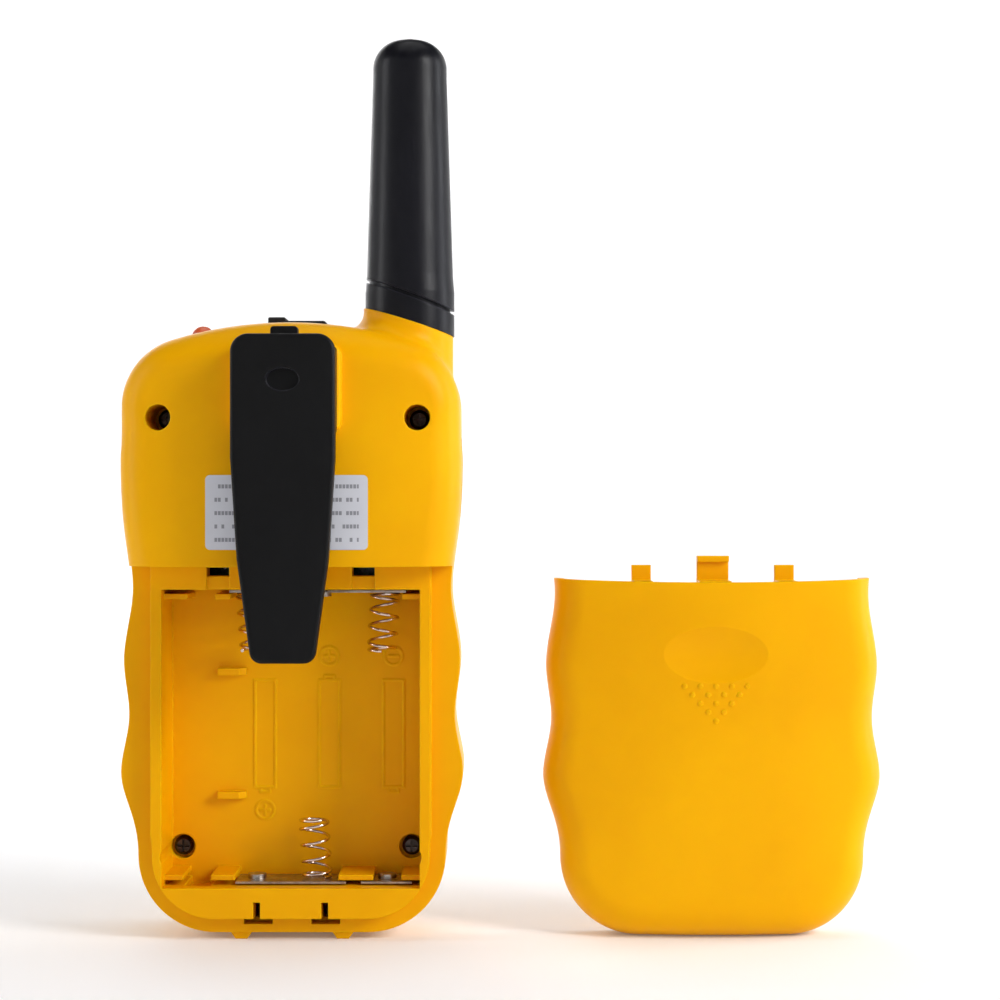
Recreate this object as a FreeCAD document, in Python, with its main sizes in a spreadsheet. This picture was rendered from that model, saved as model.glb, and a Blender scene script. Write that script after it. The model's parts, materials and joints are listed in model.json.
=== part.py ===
import FreeCAD, Part

# Toy two-way radio with its battery cover off and standing beside it.
#
# Frame, in millimetres: the origin is midway between the two feet, on the surface the
# radio stands on. +Z runs up to the antenna. The back, with the battery bay and belt
# clip, faces +Y, and the speaker, keys and display face -Y. The casings part at Y = 0.
#
# Every formula below is written in words that are cells of the sheet "sizes". Tenths of
# a millimetre added to a formula only let two solids overlap before they are joined or cut.

import math
import os
import re

import Sketcher
from FreeCAD import Placement, Rotation, Vector

doc = FreeCAD.newDocument("two_way_radio")
sheet = doc.addObject("Spreadsheet::Sheet", "sizes")

DRIVING = {
    # outline of the casing, seen from the back, as half-widths at heights
    "base_level": 1.2, "base_half": 26.6, "base_corner": 13.4,
    "lower_bulge": 29.6, "lower_bulge_level": 29.0,
    "lower_waist": 28.2, "lower_waist_level": 38.3,
    "upper_bulge": 29.1, "upper_bulge_level": 48.0,
    "upper_waist": 27.6, "upper_waist_level": 59.3,
    "chest_half": 28.8, "chest_level": 72.0,
    "shoulder_half": 29.3, "shoulder_level": 84.0,
    "top_half": 29.1, "top_corner": 12.0, "top_radius": 73.0, "top_level": 106.4,
    # depths and walls of the casing
    "front_depth": 15.0, "back_depth": 15.5, "wall": 2.0, "parting_gap": 0.05,
    "crown_radius": 110.0, "back_round": 6.5, "front_round": 6.0, "inner_round": 4.5,
    "inner_front_round": 4.0,
    "far": 60.0, "above": 130.0,
    # neck that carries the antenna
    "neck_x": -19.95, "neck_radius": 7.85, "neck_level": 107.05, "neck_slant": 17.4,
    "neck_fillet": 3.0, "neck_bore": 5.2, "neck_bore_low": 98.0,
    # feet
    "foot_x": 8.8, "foot_tip": 1.0, "foot_root": 2.0, "foot_tall": 1.35,
    "foot_front": 9.0, "foot_back": 4.6,
    # battery bay
    "bay_half": 22.2, "bay_low": 9.2, "bay_high": 60.6, "bay_floor": -5.0,
    "rim_half": 24.1, "rim_y": 7.7, "flank_y": 5.0, "step_level": 64.7,
    "plateau_inset": 2.8, "tub_inset": 2.7, "tub_y": -6.5, "tub_low": 7.4, "tub_high": 62.5,
    "cell_pitch": 11.4, "cell_x": 6.5, "cell_y": 0.5, "cell_radius": 5.25,
    "cell_fit": 0.1,
    "mark_x": 5.7, "mark_low": 24.8, "mark_tall": 19.4, "mark_wide": 4.0, "mark_line": 0.4,
    "mark_proud": 0.14, "mark_nub": 1.2, "root_deep": 0.2,
    "sign_level": 48.3, "sign_radius": 1.8, "first_sign_level": 21.0,
    "rib_low_x": 9.0, "rib_high_x": 14.0, "rib_upper": 45.6, "rib_lower": 23.7,
    "rib_thick": 1.2, "rib_tall": 1.6,
    "post_thick": 0.9, "post_gap": 0.9, "post_y": 4.5, "post_root": 0.3,
    "low_post_side_x": 18.9, "low_post_low_x": 10.0, "low_post_left_x": -14.0,
    "low_post_right_x": -8.0, "high_post_side_x": 18.2, "high_post_low_x": 10.8,
    "high_post_high_x": 13.4, "high_post_far_x": 19.0,
    "niche_low_x": 14.1, "niche_high_x": 18.7, "niche_deep": 1.2,
    # openings that take the cover's tabs and hooks
    "tab_x": 12.5, "tab_slot_wide": 3.9, "tab_slot_low": 62.9, "tab_slot_high": 64.4,
    "tab_slot_deep": 2.0, "ramp_deep": 0.6, "tab_hole_y": 9.6, "tab_hole_low": 63.4,
    "hook_slot_half": 3.2,
    "hook_hole_y": 10.9, "hook_hole_low_y": 7.4,
    "tee_x": 5.85, "tee_bar_half": 2.5, "tee_bar_low": 2.6, "tee_bar_high": 3.8,
    "tee_stem_half": 0.6, "tee_floor_y": 1.5, "tee_high": 6.8,
    # screws
    "screw_upper_x": 21.95, "screw_upper_z": 90.0, "screw_upper_seat": 0.5,
    "screw_lower_x": 20.3, "screw_lower_z": 14.5, "screw_lower_seat": -7.1,
    "head_radius": 1.7, "head_tall": 1.5, "shank_radius": 1.0, "shank_long": 5.4,
    "sink_radius": 2.2, "boss_radius": 3.2, "post_radius": 2.9, "screw_fit": 0.08,
    "recess_half": 1.1, "recess_thick": 0.42, "recess_deep": 0.8,
    "upper_post_gap": 2.3, "lower_post_gap": 1.4, "upper_thread_y": -12.0,
    "lower_thread_y": -13.4,
    # rating label
    "label_half": 13.7, "label_low": 67.6, "label_high": 80.2, "label_thick": 0.12,
    "label_corner": 0.8,
    # belt clip and the rail it slides on
    "rail_half": 9.3, "rail_low": 87.0, "rail_high": 102.5, "rail_y": 17.4,
    "rail_round": 0.8, "rail_corner": 2.4,
    "track_half": 6.6, "track_y": 14.9, "track_lip_y": 16.3, "track_neck": 4.9,
    "track_stop": 89.5, "track_fit": 0.2,
    "clip_half": 8.7, "clip_top": 102.2, "clip_shoulder": 83.0, "clip_middle_half": 7.6,
    "clip_middle": 66.1, "clip_tip_half": 5.25, "clip_tip": 48.9, "clip_corner": 3.0,
    "clip_plate_drop": 0.5, "clip_in_y": 19.8, "clip_out_y": 22.0, "clip_gap": 0.2,
    "knuckle_radius": 1.4, "knuckle_y": 20.6, "knuckle_fit": 0.15,
    "clip_tip_round": 2.0, "clip_edge_round": 0.6,
    "tip_rib_half": 4.0, "tip_rib_low": 50.4, "tip_rib_high": 53.0, "tip_rib_y": 17.3,
    "dimple_z": 96.0, "dimple_long": 2.75, "dimple_tall": 1.9, "dimple_deep": 1.2,
    "latch_half": 2.3, "latch_top": 105.0, "latch_low_y": 17.2, "latch_inset": 0.6,
    # jack, its dust cover and the recess for it
    "jack_x": -1.5, "jack_bore": 1.25, "jack_nose": 2.4, "jack_hole": 2.6,
    "jack_top": 105.4, "jack_bore_low": 96.4, "jack_low": 94.0, "jack_shoulder": 101.6,
    "jack_half": 3.1, "jack_back_y": 3.1,
    "dust_low_x": -5.2, "dust_high_x": 4.3, "dust_half_y": 3.4, "dust_level": 106.4,
    "dust_half_thick": 0.75, "dust_lump": 107.8, "dust_lump_long": 3.0, "dust_fit": 0.3,
    "dust_gap": 0.15,
    # torch
    "torch_x": 15.6, "torch_y": 3.5, "torch_lens_radius": 2.0, "torch_top": 104.2,
    "torch_low": 100.6, "torch_fit": 0.1, "torch_led_radius": 1.4, "torch_led_low": 95.0,
    "led_leg_half": 0.25, "led_leg_x": 0.7, "led_leg_long": 3.0,
    # antenna
    "antenna_x": -20.2, "collar_radius": 7.8, "sleeve_radius": 7.55, "sleeve_tip": 6.45,
    "sleeve_top": 156.4, "sleeve_round": 5.0, "sleeve_low": 100.0, "taper_top": 150.0,
    "spigot_radius": 5.0, "spigot_low": 101.0, "sleeve_bore": 4.2, "sleeve_bore_low": 90.0,
    "sleeve_bore_top": 148.0, "groove_level": 111.5, "groove_slant": 20.0,
    "groove_wide": 0.7, "groove_floor": 7.1, "nub_radius": 0.8, "nub_tall": 0.3,
    "coil_radius": 3.1, "coil_wire": 0.4, "coil_pitch": 3.0, "coil_low": 109.0,
    "coil_tall": 36.0, "ferrule_radius": 3.9, "ferrule_low": 99.0, "ferrule_high": 108.0,
    # printed circuit board and the pieces on it
    "board_half": 18.0, "board_low": 51.5, "board_high": 100.5, "board_back_y": -8.4,
    "board_thick": 1.2, "peg_x": 16.2, "peg_low": 54.0, "peg_high": 98.0, "peg_radius": 0.9,
    "peg_tip_y": -8.0, "peg_hole": 1.0,
    "can_low_x": -14.0, "can_high_x": 6.0, "can_low": 68.0, "can_high": 86.0,
    "can_tall": 3.0, "chip_x": 9.0, "chip_low": 70.0, "chip_side": 6.0, "chip_tall": 1.0,
    "crystal_low": 80.0, "crystal_radius": 1.4, "crystal_long": 5.5,
    "drum_x": 12.0, "drum_z": 92.0, "drum_radius": 2.5, "drum_long": 6.5,
    "switch_low_x": -22.2, "switch_high_x": -16.8, "switch_z": 80.0, "switch_half": 3.0,
    "switch_tall": 6.0, "switch_nib": 0.3, "switch_nib_radius": 1.0,
    # display
    "glass_half": 14.8, "glass_low": 78.2, "glass_high": 93.8, "glass_y": -14.3,
    "glass_thick": 0.9, "glass_fit": 0.15, "view_half": 12.5, "view_low": 80.0,
    "view_high": 92.0, "lcd_half": 13.5, "lcd_low": 78.8, "lcd_high": 93.2,
    "lcd_thick": 2.9,
    # front trim
    "trim_half": 19.5, "trim_low": 50.5, "trim_high": 97.0, "trim_thick": 0.8,
    "trim_round": 5.0,
    # keys and their rubber mat
    "key_z": 64.2, "key_step_x": 11.3, "key_step_z": 6.9, "key_radius": 3.1,
    "key_long_half": 4.2, "key_tall_half": 1.9, "key_front_y": 16.7, "key_fit": 0.2,
    "key_flange": 0.8, "key_flange_y": 12.95, "key_flange_thick": 0.75,
    "key_plunger": 1.1, "key_plunger_long": 0.9, "key_round": 0.6,
    "mat_half": 16.0, "mat_low": 55.6, "mat_high": 73.0, "mat_thick": 0.5,
    "dome_radius": 2.0, "dome_tall": 0.4,
    # push-to-talk key
    "talk_low": 73.2, "talk_high": 86.8, "talk_front_y": -7.2, "talk_back_y": -1.4,
    "talk_inset": 0.1, "talk_inner_x": -25.9, "talk_flange": 0.7, "talk_grow": 0.9,
    "talk_fit": 0.2, "talk_plunger": 1.5, "talk_plunger_x": -23.7, "talk_z": 80.0,
    "talk_y": -4.3,
    # speaker and microphone
    "speaker_z": 33.0, "speaker_radius": 14.0, "speaker_front_y": -12.8,
    "speaker_lip": 1.0, "basket_radius": 8.5, "basket_y": -9.4, "magnet_radius": 6.8,
    "magnet_y": -7.2, "cone_radius": 12.4, "cone_cap": 3.6, "cone_thick": 0.3,
    "cone_deep": 2.0, "cloth_thick": 0.2, "grille_pitch": 4.0, "grille_slot": 1.6,
    "grille_radius": 12.2, "collar_wall": 1.2, "collar_fit": 0.2, "collar_tall": 2.6,
    "mic_x": 15.5, "mic_z": 47.0, "mic_radius": 2.0, "mic_tall": 1.6, "mic_boot": 2.9,
    "mic_hole": 0.7,
    # battery contacts
    "leaf_thick": 0.4, "leaf_gap": 0.25, "leaf_half_y": 4.0, "leaf_half": 4.4,
    "bump_radius": 1.6, "bump_tall": 0.8,
    "leaf_trim": 1.0, "minus_trim": 1.4,
    "spring_radius": 2.45, "spring_wire": 0.25, "spring_pitch": 3.0, "spring_long": 9.6,
    "touch_gap": 0.02, "first_spring_x": 7.6, "second_spring_x": -4.0,
    "third_spring_x": -15.9,
    # battery cover
    "cover_wall": 1.7, "cover_gap": 0.15, "cover_high": 63.5, "cover_round": 4.8,
    "cover_dip": 0.5, "cover_dip_radius": 740.0,
    "cover_tab_half": 1.67, "cover_tab_low_y": 7.9, "cover_tab_high_y": 9.3,
    "cover_tab_low": 62.0, "cover_tab_web": 1.2, "cover_tab_top": 65.85,
    "cover_wall_y": 14.6, "cover_hook_half": 2.75, "cover_hook_top": 67.45,
    "cover_hook_y": 10.3, "cover_hook_bump": 1.0,
    "tee_low": 5.4, "tee_tall": 1.1, "tee_neck_half": 0.5, "tee_head_half": 2.3,
    "tee_head_low_y": 1.2, "tee_head_high_y": 2.6,
    "thumb_z": 50.55, "thumb_long": 11.2, "thumb_tall": 4.9, "thumb_deep": 1.05,
    "dot_top": 45.2, "dot_across": 2.7, "dot_down": 1.5, "dot_radius": 0.4,
    "dot_proud": 0.18, "dot_root_y": 13.9,
    # where the cover stands, measured from where it sits when it is shut
    "stand_x": -73.2, "stand_y": -8.15, "stand_z": -1.2,
}

for row, (alias, number) in enumerate(DRIVING.items(), start=1):
    sheet.set("A%d" % row, alias.replace("_", " "))
    sheet.set("B%d" % row, str(number))
    sheet.setAlias("B%d" % row, alias)
doc.recompute()

pieces = []

TURNS = {
    "x": Rotation(Vector(0, 0, 1), Vector(1, 0, 0)),
    "y": Rotation(Vector(0, 0, 1), Vector(0, 1, 0)),
    "z": Rotation(),
}


# ---------------------------------------------------------------- small helpers

def size(alias):
    """A driving dimension, as a number."""
    return float(sheet.get(alias))


def formula(text):
    """The same formula with each word turned into a reference to the sheet."""
    return re.sub(r"[a-z][a-z_]*", lambda word: "sizes." + word.group(), text)


def bind(item, **rules):
    for name, text in rules.items():
        item.setExpression(name, formula(text))
    return item


def place(item, corner):
    """Put an object's own origin at three formulas."""
    for axis, text in zip("xyz", corner):
        item.setExpression("Placement.Base." + axis, formula(text))
    return item


def piece(item, label):
    """Record an object as a finished sub-part under the name that a person would use."""
    item.Label = label
    pieces.append(item)
    return item


def block(name, low, high):
    """A box between two opposite corners."""
    box = doc.addObject("Part::Box", name)
    for side, start, end in zip(("Length", "Width", "Height"), low, high):
        box.setExpression(side, formula("(%s) - (%s)" % (end, start)))
    return place(box, low)


def rod(name, radius, start, length, axis="z"):
    """A cylinder from a point along one axis."""
    cylinder = doc.addObject("Part::Cylinder", name)
    cylinder.Placement = Placement(Vector(), TURNS[axis])
    bind(cylinder, Radius=radius, Height=length)
    return place(cylinder, start)


def join(name, parts):
    fusion = doc.addObject("Part::MultiFuse", name)
    fusion.Shapes = parts
    return fusion


def cut(name, base, tools):
    result = doc.addObject("Part::Cut", name)
    result.Base = base
    result.Tool = tools[0] if len(tools) == 1 else join(name + "_tools", tools)
    return result


def overlap(name, first, second):
    result = doc.addObject("Part::Common", name)
    result.Base = first
    result.Tool = second
    return result


def group(name, parts):
    """Several separate solids under one name."""
    compound = doc.addObject("Part::Compound", name)
    compound.Links = parts
    return compound


def feature(name, shape):
    """A shape that Part's functions made; it sits where it was made."""
    item = doc.addObject("Part::Feature", name)
    item.Shape = shape
    item.Placement = shape.Placement
    return item


def edges_where(shape, test):
    """Names and indices of the edges that pass a test."""
    return [number for number, edge in enumerate(shape.Edges, start=1) if test(edge)]


def softened(name, source, radius, test):
    """A Part::Fillet over the chosen edges."""
    doc.recompute()
    fillet = doc.addObject("Part::Fillet", name)
    fillet.Base = source
    chosen = edges_where(source.Shape, test)
    fillet.Edges = [(number, size(radius), size(radius)) for number in chosen]
    return fillet


def level_edge(axis, place_at):
    """A test for edges that lie wholly in one plane across an axis."""
    return lambda edge: all(abs(getattr(v.Point, axis) - place_at) < 1e-4 for v in edge.Vertexes)


def runs_along(axis):
    """A test for straight edges along an axis."""
    def test(edge):
        if len(edge.Vertexes) != 2:
            return False
        step = edge.Vertexes[1].Point - edge.Vertexes[0].Point
        return step.Length > 1e-3 and abs(abs(getattr(step, axis)) - step.Length) < 1e-4
    return test


# ---------------------------------------------------------------- sketch helpers

def new_body(name):
    return doc.addObject("PartDesign::Body", name)


def sketch_on(body, name, role, offset="0"):
    """A sketch on one of the body's own planes, moved along that plane's normal."""
    plane = [item for item in body.Origin.OriginFeatures if item.Role == role][0]
    sketch = body.newObject("Sketcher::SketchObject", name)
    sketch.AttachmentSupport = [(plane, "")]
    sketch.MapMode = "FlatFace"
    sketch.setExpression("AttachmentOffset.Base.z", formula(offset))
    return sketch


def pin(sketch, item, point, spot):
    """Fix a point of the sketch at two formulas."""
    for kind, text in zip(("DistanceX", "DistanceY"), spot):
        number = sketch.addConstraint(Sketcher.Constraint(kind, -1, 1, item, point, 1.0))
        sketch.setExpression("Constraints[%d]" % number, formula(text))


def draw_outline(sketch, corners):
    """A closed line through corners that are pairs of formulas."""
    first = sketch.GeometryCount
    count = len(corners)
    around = [Vector(math.cos(2 * math.pi * n / count), math.sin(2 * math.pi * n / count), 0)
              for n in range(count)]
    for number in range(count):
        following = around[(number + 1) % count]
        sketch.addGeometry(Part.LineSegment(around[number], following), False)
    for number in range(count):
        following = first + (number + 1) % count
        sketch.addConstraint(Sketcher.Constraint("Coincident", first + number, 2, following, 1))
        pin(sketch, first + number, 1, corners[number])


def draw_circle(sketch, spot, radius):
    circle = sketch.addGeometry(Part.Circle(Vector(), Vector(0, 0, 1), 1.0), False)
    number = sketch.addConstraint(Sketcher.Constraint("Radius", circle, 1.0))
    sketch.setExpression("Constraints[%d]" % number, formula(radius))
    pin(sketch, circle, 3, spot)


def draw_rectangle(sketch, low, high):
    corners = [(low[0], low[1]), (high[0], low[1]), (high[0], high[1]), (low[0], high[1])]
    draw_outline(sketch, corners)


def pad(body, name, sketch, length, backward=False):
    item = body.newObject("PartDesign::Pad", name)
    item.Profile = sketch
    item.Reversed = backward
    return bind(item, Length=length)


def pocket(body, name, sketch, length, backward=False):
    item = body.newObject("PartDesign::Pocket", name)
    item.Profile = sketch
    item.Reversed = backward
    return bind(item, Length=length)


def revolve(body, name, sketch, axis="V_Axis"):
    item = body.newObject("PartDesign::Revolution", name)
    item.Profile = sketch
    item.ReferenceAxis = (sketch, [axis])
    item.Angle = 360
    return item


def round_off(body, name, last, radius, test):
    """A PartDesign fillet over the chosen edges of the last feature."""
    doc.recompute()
    item = body.newObject("PartDesign::Fillet", name)
    item.Base = (last, ["Edge%d" % n for n in edges_where(last.Shape, test)])
    return bind(item, Radius=radius)


# ---------------------------------------------------------------- casing form

def outline_wire(inset):
    """The casing's outline, drawn in by an inset, as one closed wire at Y = 0."""
    def arc(middle, radius, start, end):
        def spot(angle):
            return middle + Vector(radius * math.cos(angle), 0, radius * math.sin(angle))
        return Part.Arc(spot(start), spot((start + end) / 2), spot(end)).toShape()

    base_middle = Vector(size("base_half") - size("base_corner"), 0,
                         size("base_level") + size("base_corner"))
    crown_middle = Vector(0, 0, size("top_level") - size("top_radius"))
    corner_x = size("top_half") - size("top_corner")
    reach = size("top_radius") - size("top_corner")
    corner_middle = Vector(corner_x, 0, crown_middle.z + math.sqrt(reach ** 2 - corner_x ** 2))
    turn = math.atan2(corner_middle.z - crown_middle.z, corner_x)

    grip = [(size("base_half"), base_middle.z)]
    for name in ("lower_bulge", "lower_waist", "upper_bulge", "upper_waist"):
        grip.append((size(name), size(name + "_level")))
    grip.append((size("chest_half"), size("chest_level")))
    grip.append((size("shoulder_half"), size("shoulder_level")))
    grip.append((size("top_half"), corner_middle.z))
    side = Part.BSplineCurve()
    side.interpolate(Points=[Vector(x - inset, 0, z) for x, z in grip],
                     InitialTangent=Vector(0, 0, 12), FinalTangent=Vector(0, 0, 8))

    right = [arc(base_middle, size("base_corner") - inset, -math.pi / 2, 0),
             side.toShape(),
             arc(corner_middle, size("top_corner") - inset, 0, turn)]
    left = [edge.mirror(Vector(), Vector(1, 0, 0)) for edge in right]
    crown = arc(crown_middle, size("top_radius") - inset, turn, math.pi - turn)
    base = Part.LineSegment(Vector(-base_middle.x, 0, size("base_level") + inset),
                            Vector(base_middle.x, 0, size("base_level") + inset)).toShape()
    return Part.Wire(Part.__sortEdges__([base, crown] + right + left))


def prism(inset, low_y, high_y):
    """The outline as a flat-faced slab between two depths."""
    slab = Part.Face(outline_wire(inset)).extrude(Vector(0, high_y - low_y, 0))
    slab.translate(Vector(0, low_y, 0))
    return slab


def crowned(inset, front_round, back_round):
    """The casing's form drawn in by an inset: flat front, cylindrical back, round edges."""
    low_y = inset - size("front_depth")
    high_y = size("back_depth") - inset
    radius = size("crown_radius") - inset
    middle_y = high_y - radius
    drum = Part.makeCylinder(radius, size("above") + 40, Vector(0, middle_y, -20))
    form = prism(inset, low_y, high_y).common(drum).Solids[0]

    def on_back(edge):
        span = edge.LastParameter - edge.FirstParameter
        spots = [edge.valueAt(edge.FirstParameter + step * span / 6) for step in range(7)]
        return all(abs(math.hypot(p.x, p.y - middle_y) - radius) < 0.02 and p.y > 5
                   for p in spots)

    form = form.makeFillet(back_round, [edge for edge in form.Edges if on_back(edge)])
    front = [edge for edge in form.Edges if level_edge("y", low_y)(edge)]
    return form.makeFillet(front_round, front)


def slanted_block(level, slant, x, height=40.0):
    """A block whose underside is a plane tilted about Y that passes through (x, level)."""
    half = size("far") / 2
    slab = Part.makeBox(2 * half, 2 * half, height, Vector(-half, -half, 0))
    slab.rotate(Vector(), Vector(0, 1, 0), -slant)
    slab.translate(Vector(x, 0, level))
    return slab


def foot_prism(side):
    """One foot: a rib along Y that narrows downwards."""
    x = side * size("foot_x")
    tip, root, tall = size("foot_tip"), size("foot_root"), size("foot_tall")
    up = tall + 1.0
    spots = [(-tip, 0), (tip, 0), (root, tall), (root, up), (-root, up), (-root, tall)]
    corners = [Vector(x + across, -size("foot_front"), level) for across, level in spots]
    face = Part.Face(Part.makePolygon(corners + corners[:1]))
    return face.extrude(Vector(0, size("foot_front") + size("foot_back"), 0))


def outer_form():
    """The whole casing as one solid: crowned body, antenna neck with its fillet, and feet."""
    form = crowned(0.0, size("front_round"), size("back_round"))
    neck_x, radius = size("neck_x"), size("neck_radius")
    neck = Part.makeCylinder(radius, 30, Vector(neck_x, 0, 90))
    neck = neck.cut(slanted_block(size("neck_level"), size("neck_slant"), neck_x))
    form = form.fuse(neck).removeSplitter()
    rise = math.tan(math.radians(size("neck_slant")))

    def at_root(edge):
        span = edge.LastParameter - edge.FirstParameter
        spots = [edge.valueAt(edge.FirstParameter + step * span / 6) for step in range(7)]
        return all(abs(math.hypot(p.x - neck_x, p.y) - radius) < 0.02
                   and p.z < size("neck_level") + (p.x - neck_x) * rise - 0.4 for p in spots)

    form = form.makeFillet(size("neck_fillet"), [edge for edge in form.Edges if at_root(edge)])
    return form.multiFuse([foot_prism(-1), foot_prism(1)]).removeSplitter()


outer = feature("outer_form", outer_form())
inner = feature("inner_form", crowned(size("wall"), size("inner_front_round"), size("inner_round")))


# ---------------------------------------------------------------- openings both casings share

def recess_tools():
    """Cutters for what sits across the parting line at the top of the casings."""
    jack_hole = rod("jack_hole", "jack_hole", ("jack_x", "0", "jack_low"), "far", "z")
    dust_recess = block("dust_recess",
                        ("dust_low_x - dust_half_thick - dust_fit", "0 - dust_half_y - dust_fit",
                         "dust_level - dust_half_thick - dust_gap"),
                        ("dust_high_x + dust_fit", "dust_half_y + dust_fit", "above"))
    spigot_bore = rod("spigot_bore", "neck_bore", ("antenna_x", "0", "neck_bore_low"), "far", "z")
    return [jack_hole, dust_recess, spigot_bore]


top_openings = recess_tools()


def clearance_hole(name, radius, x, z, low_y, high_y):
    return rod(name, radius, (x, low_y, z), "(%s) - (%s)" % (high_y, low_y), "y")


def both_sides(maker):
    """Run a maker for the +X side and the -X side and collect what it returns."""
    return maker("right", "1") + maker("left", "-1")


# ---------------------------------------------------------------- rear casing

def battery_marks():
    """Raised outlines of the cells and their plus and minus signs on the bay's floor."""
    floor = "bay_floor - root_deep"
    top = "bay_floor + mark_proud"
    marks = []

    def frame(name, x, low, wide, tall):
        outside = block(name + "_outside", ("(%s) - (%s) / 2" % (x, wide), floor, low),
                        ("(%s) + (%s) / 2" % (x, wide), top, "(%s) + (%s)" % (low, tall)))
        inside = block(name + "_inside",
                       ("(%s) - (%s) / 2 + mark_line" % (x, wide), floor,
                        "(%s) + mark_line" % low),
                       ("(%s) + (%s) / 2 - mark_line" % (x, wide), "top_level",
                        "(%s) + (%s) - mark_line" % (low, tall)))
        marks.append(cut(name, outside, [inside]))

    def sign(name, x, z, with_upright):
        ring = cut(name + "_ring",
                   rod(name + "_rim", "sign_radius", (x, floor, z), "root_deep + mark_proud", "y"),
                   [rod(name + "_eye", "sign_radius - mark_line", (x, floor, z), "far", "y")])
        bars = [block(name + "_bar", ("(%s) - 1" % x, floor, "(%s) - mark_line / 2" % z),
                      ("(%s) + 1" % x, top, "(%s) + mark_line / 2" % z))]
        if with_upright:
            bars.append(block(name + "_upright",
                              ("(%s) - mark_line / 2" % x, floor, "(%s) - 1" % z),
                              ("(%s) + mark_line / 2" % x, top, "(%s) + 1" % z)))
        marks.extend([ring] + bars)

    nub_levels = ("mark_low - mark_nub + mark_line", "mark_low + mark_tall - mark_line",
                  "mark_low - mark_nub + mark_line")
    for number, nub_level in enumerate(nub_levels):
        x = "mark_x - %d * cell_pitch" % number
        frame("cell_mark_%d" % number, x, "mark_low", "mark_wide", "mark_tall")
        frame("nub_mark_%d" % number, x, nub_level, "mark_wide / 2", "mark_nub")
    sign("plus_sign", "mark_x - cell_pitch", "sign_level", True)
    sign("minus_sign", "mark_x - 2 * cell_pitch", "sign_level", False)
    sign("first_plus_sign", "mark_x", "first_sign_level", True)
    return marks


def bay_ribs():
    """Two ribs that keep the first cell off the spare width of the bay."""
    ribs = [block("rib_" + name, ("rib_low_x", "bay_floor - root_deep", level + " - rib_thick / 2"),
                  ("rib_high_x", "bay_floor + rib_tall", level + " + rib_thick / 2"))
            for name, level in (("upper", "rib_upper"), ("lower", "rib_lower"))]
    cradle = rod("rib_cradle", "cell_radius + cell_fit", ("cell_x", "cell_y", "0"), "far", "z")
    return cut("bay_ribs", join("bay_rib_pair", ribs), [cradle])


def bay_posts():
    """Posts that stand off both end walls and hold the contact leaves."""
    posts = []
    low_spans = (("low_post_side_x", "bay_half + post_root"), ("low_post_low_x", "niche_low_x"),
                 ("low_post_left_x", "low_post_right_x"),
                 ("0 - bay_half - post_root", "0 - low_post_side_x"))
    high_spans = (("high_post_side_x", "bay_half + post_root"),
                  ("high_post_low_x", "high_post_high_x"),
                  ("0 - bay_half - post_root", "0 - high_post_far_x"))
    for number, (start, end) in enumerate(low_spans):
        posts.append(block("low_post_%d" % number,
                           (start, "bay_floor - root_deep", "bay_low + post_gap"),
                           (end, "post_y", "bay_low + post_gap + post_thick")))
    for number, (start, end) in enumerate(high_spans):
        posts.append(block("high_post_%d" % number,
                           (start, "bay_floor - root_deep", "bay_high - post_gap - post_thick"),
                           (end, "post_y", "bay_high - post_gap")))
    return posts


def cover_openings():
    """Slots in the ledges that take the cover's tabs and T hooks."""
    tools = []

    def tab_opening(name, side):
        x = side + " * tab_x"
        half = "tab_slot_wide / 2"
        return [
            block("tab_slot_" + name, (x + " - " + half, "tab_slot_deep", "tab_slot_low"),
                  (x + " + " + half, "rim_y + 1", "tab_slot_high")),
            block("tab_ramp_" + name, (x + " - " + half, "rim_y - ramp_deep", "bay_high - 1"),
                  (x + " + " + half, "rim_y + 1", "tab_slot_low + 0.1")),
            block("tab_hole_" + name, (x + " - " + half, "rim_y - 0.1", "tab_hole_low"),
                  (x + " + " + half, "tab_hole_y", "step_level + wall + 1")),
        ]

    def tee_opening(name, side):
        x = side + " * tee_x"
        return [
            block("tee_bar_" + name, (x + " - tee_bar_half", "tee_floor_y", "tee_bar_low"),
                  (x + " + tee_bar_half", "rim_y + 1", "tee_bar_high")),
            block("tee_stem_" + name, (x + " - tee_stem_half", "tee_floor_y", "tee_bar_low"),
                  (x + " + tee_stem_half", "rim_y + 1", "tee_high")),
        ]

    tools += both_sides(tab_opening) + both_sides(tee_opening)
    tools.append(block("hook_slot", ("0 - hook_slot_half", "tab_slot_deep", "tab_slot_low"),
                       ("hook_slot_half", "rim_y + 1", "tab_slot_high")))
    tools.append(block("hook_hole",
                       ("0 - hook_slot_half", "hook_hole_low_y", "tab_hole_low"),
                       ("hook_slot_half", "hook_hole_y", "step_level + wall + 1")))
    return tools


def clip_rail():
    """Raised boss with a T track, open at the top, that the belt clip's foot slides in."""
    boss = block("rail_boss", ("0 - rail_half", "11", "rail_low"),
                 ("rail_half", "rail_y", "rail_high"))
    boss = softened("rail_boss_corners", boss, "rail_corner", runs_along("y"))
    boss = softened("rail_boss_soft", boss, "rail_round", level_edge("y", size("rail_y")))
    track = block("rail_track", ("0 - track_half", "track_y", "track_stop"),
                  ("track_half", "track_lip_y", "above"))
    mouth = block("rail_mouth", ("0 - track_neck", "track_y", "track_stop"),
                  ("track_neck", "rail_y + 2", "above"))
    return boss, [track, mouth]


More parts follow.
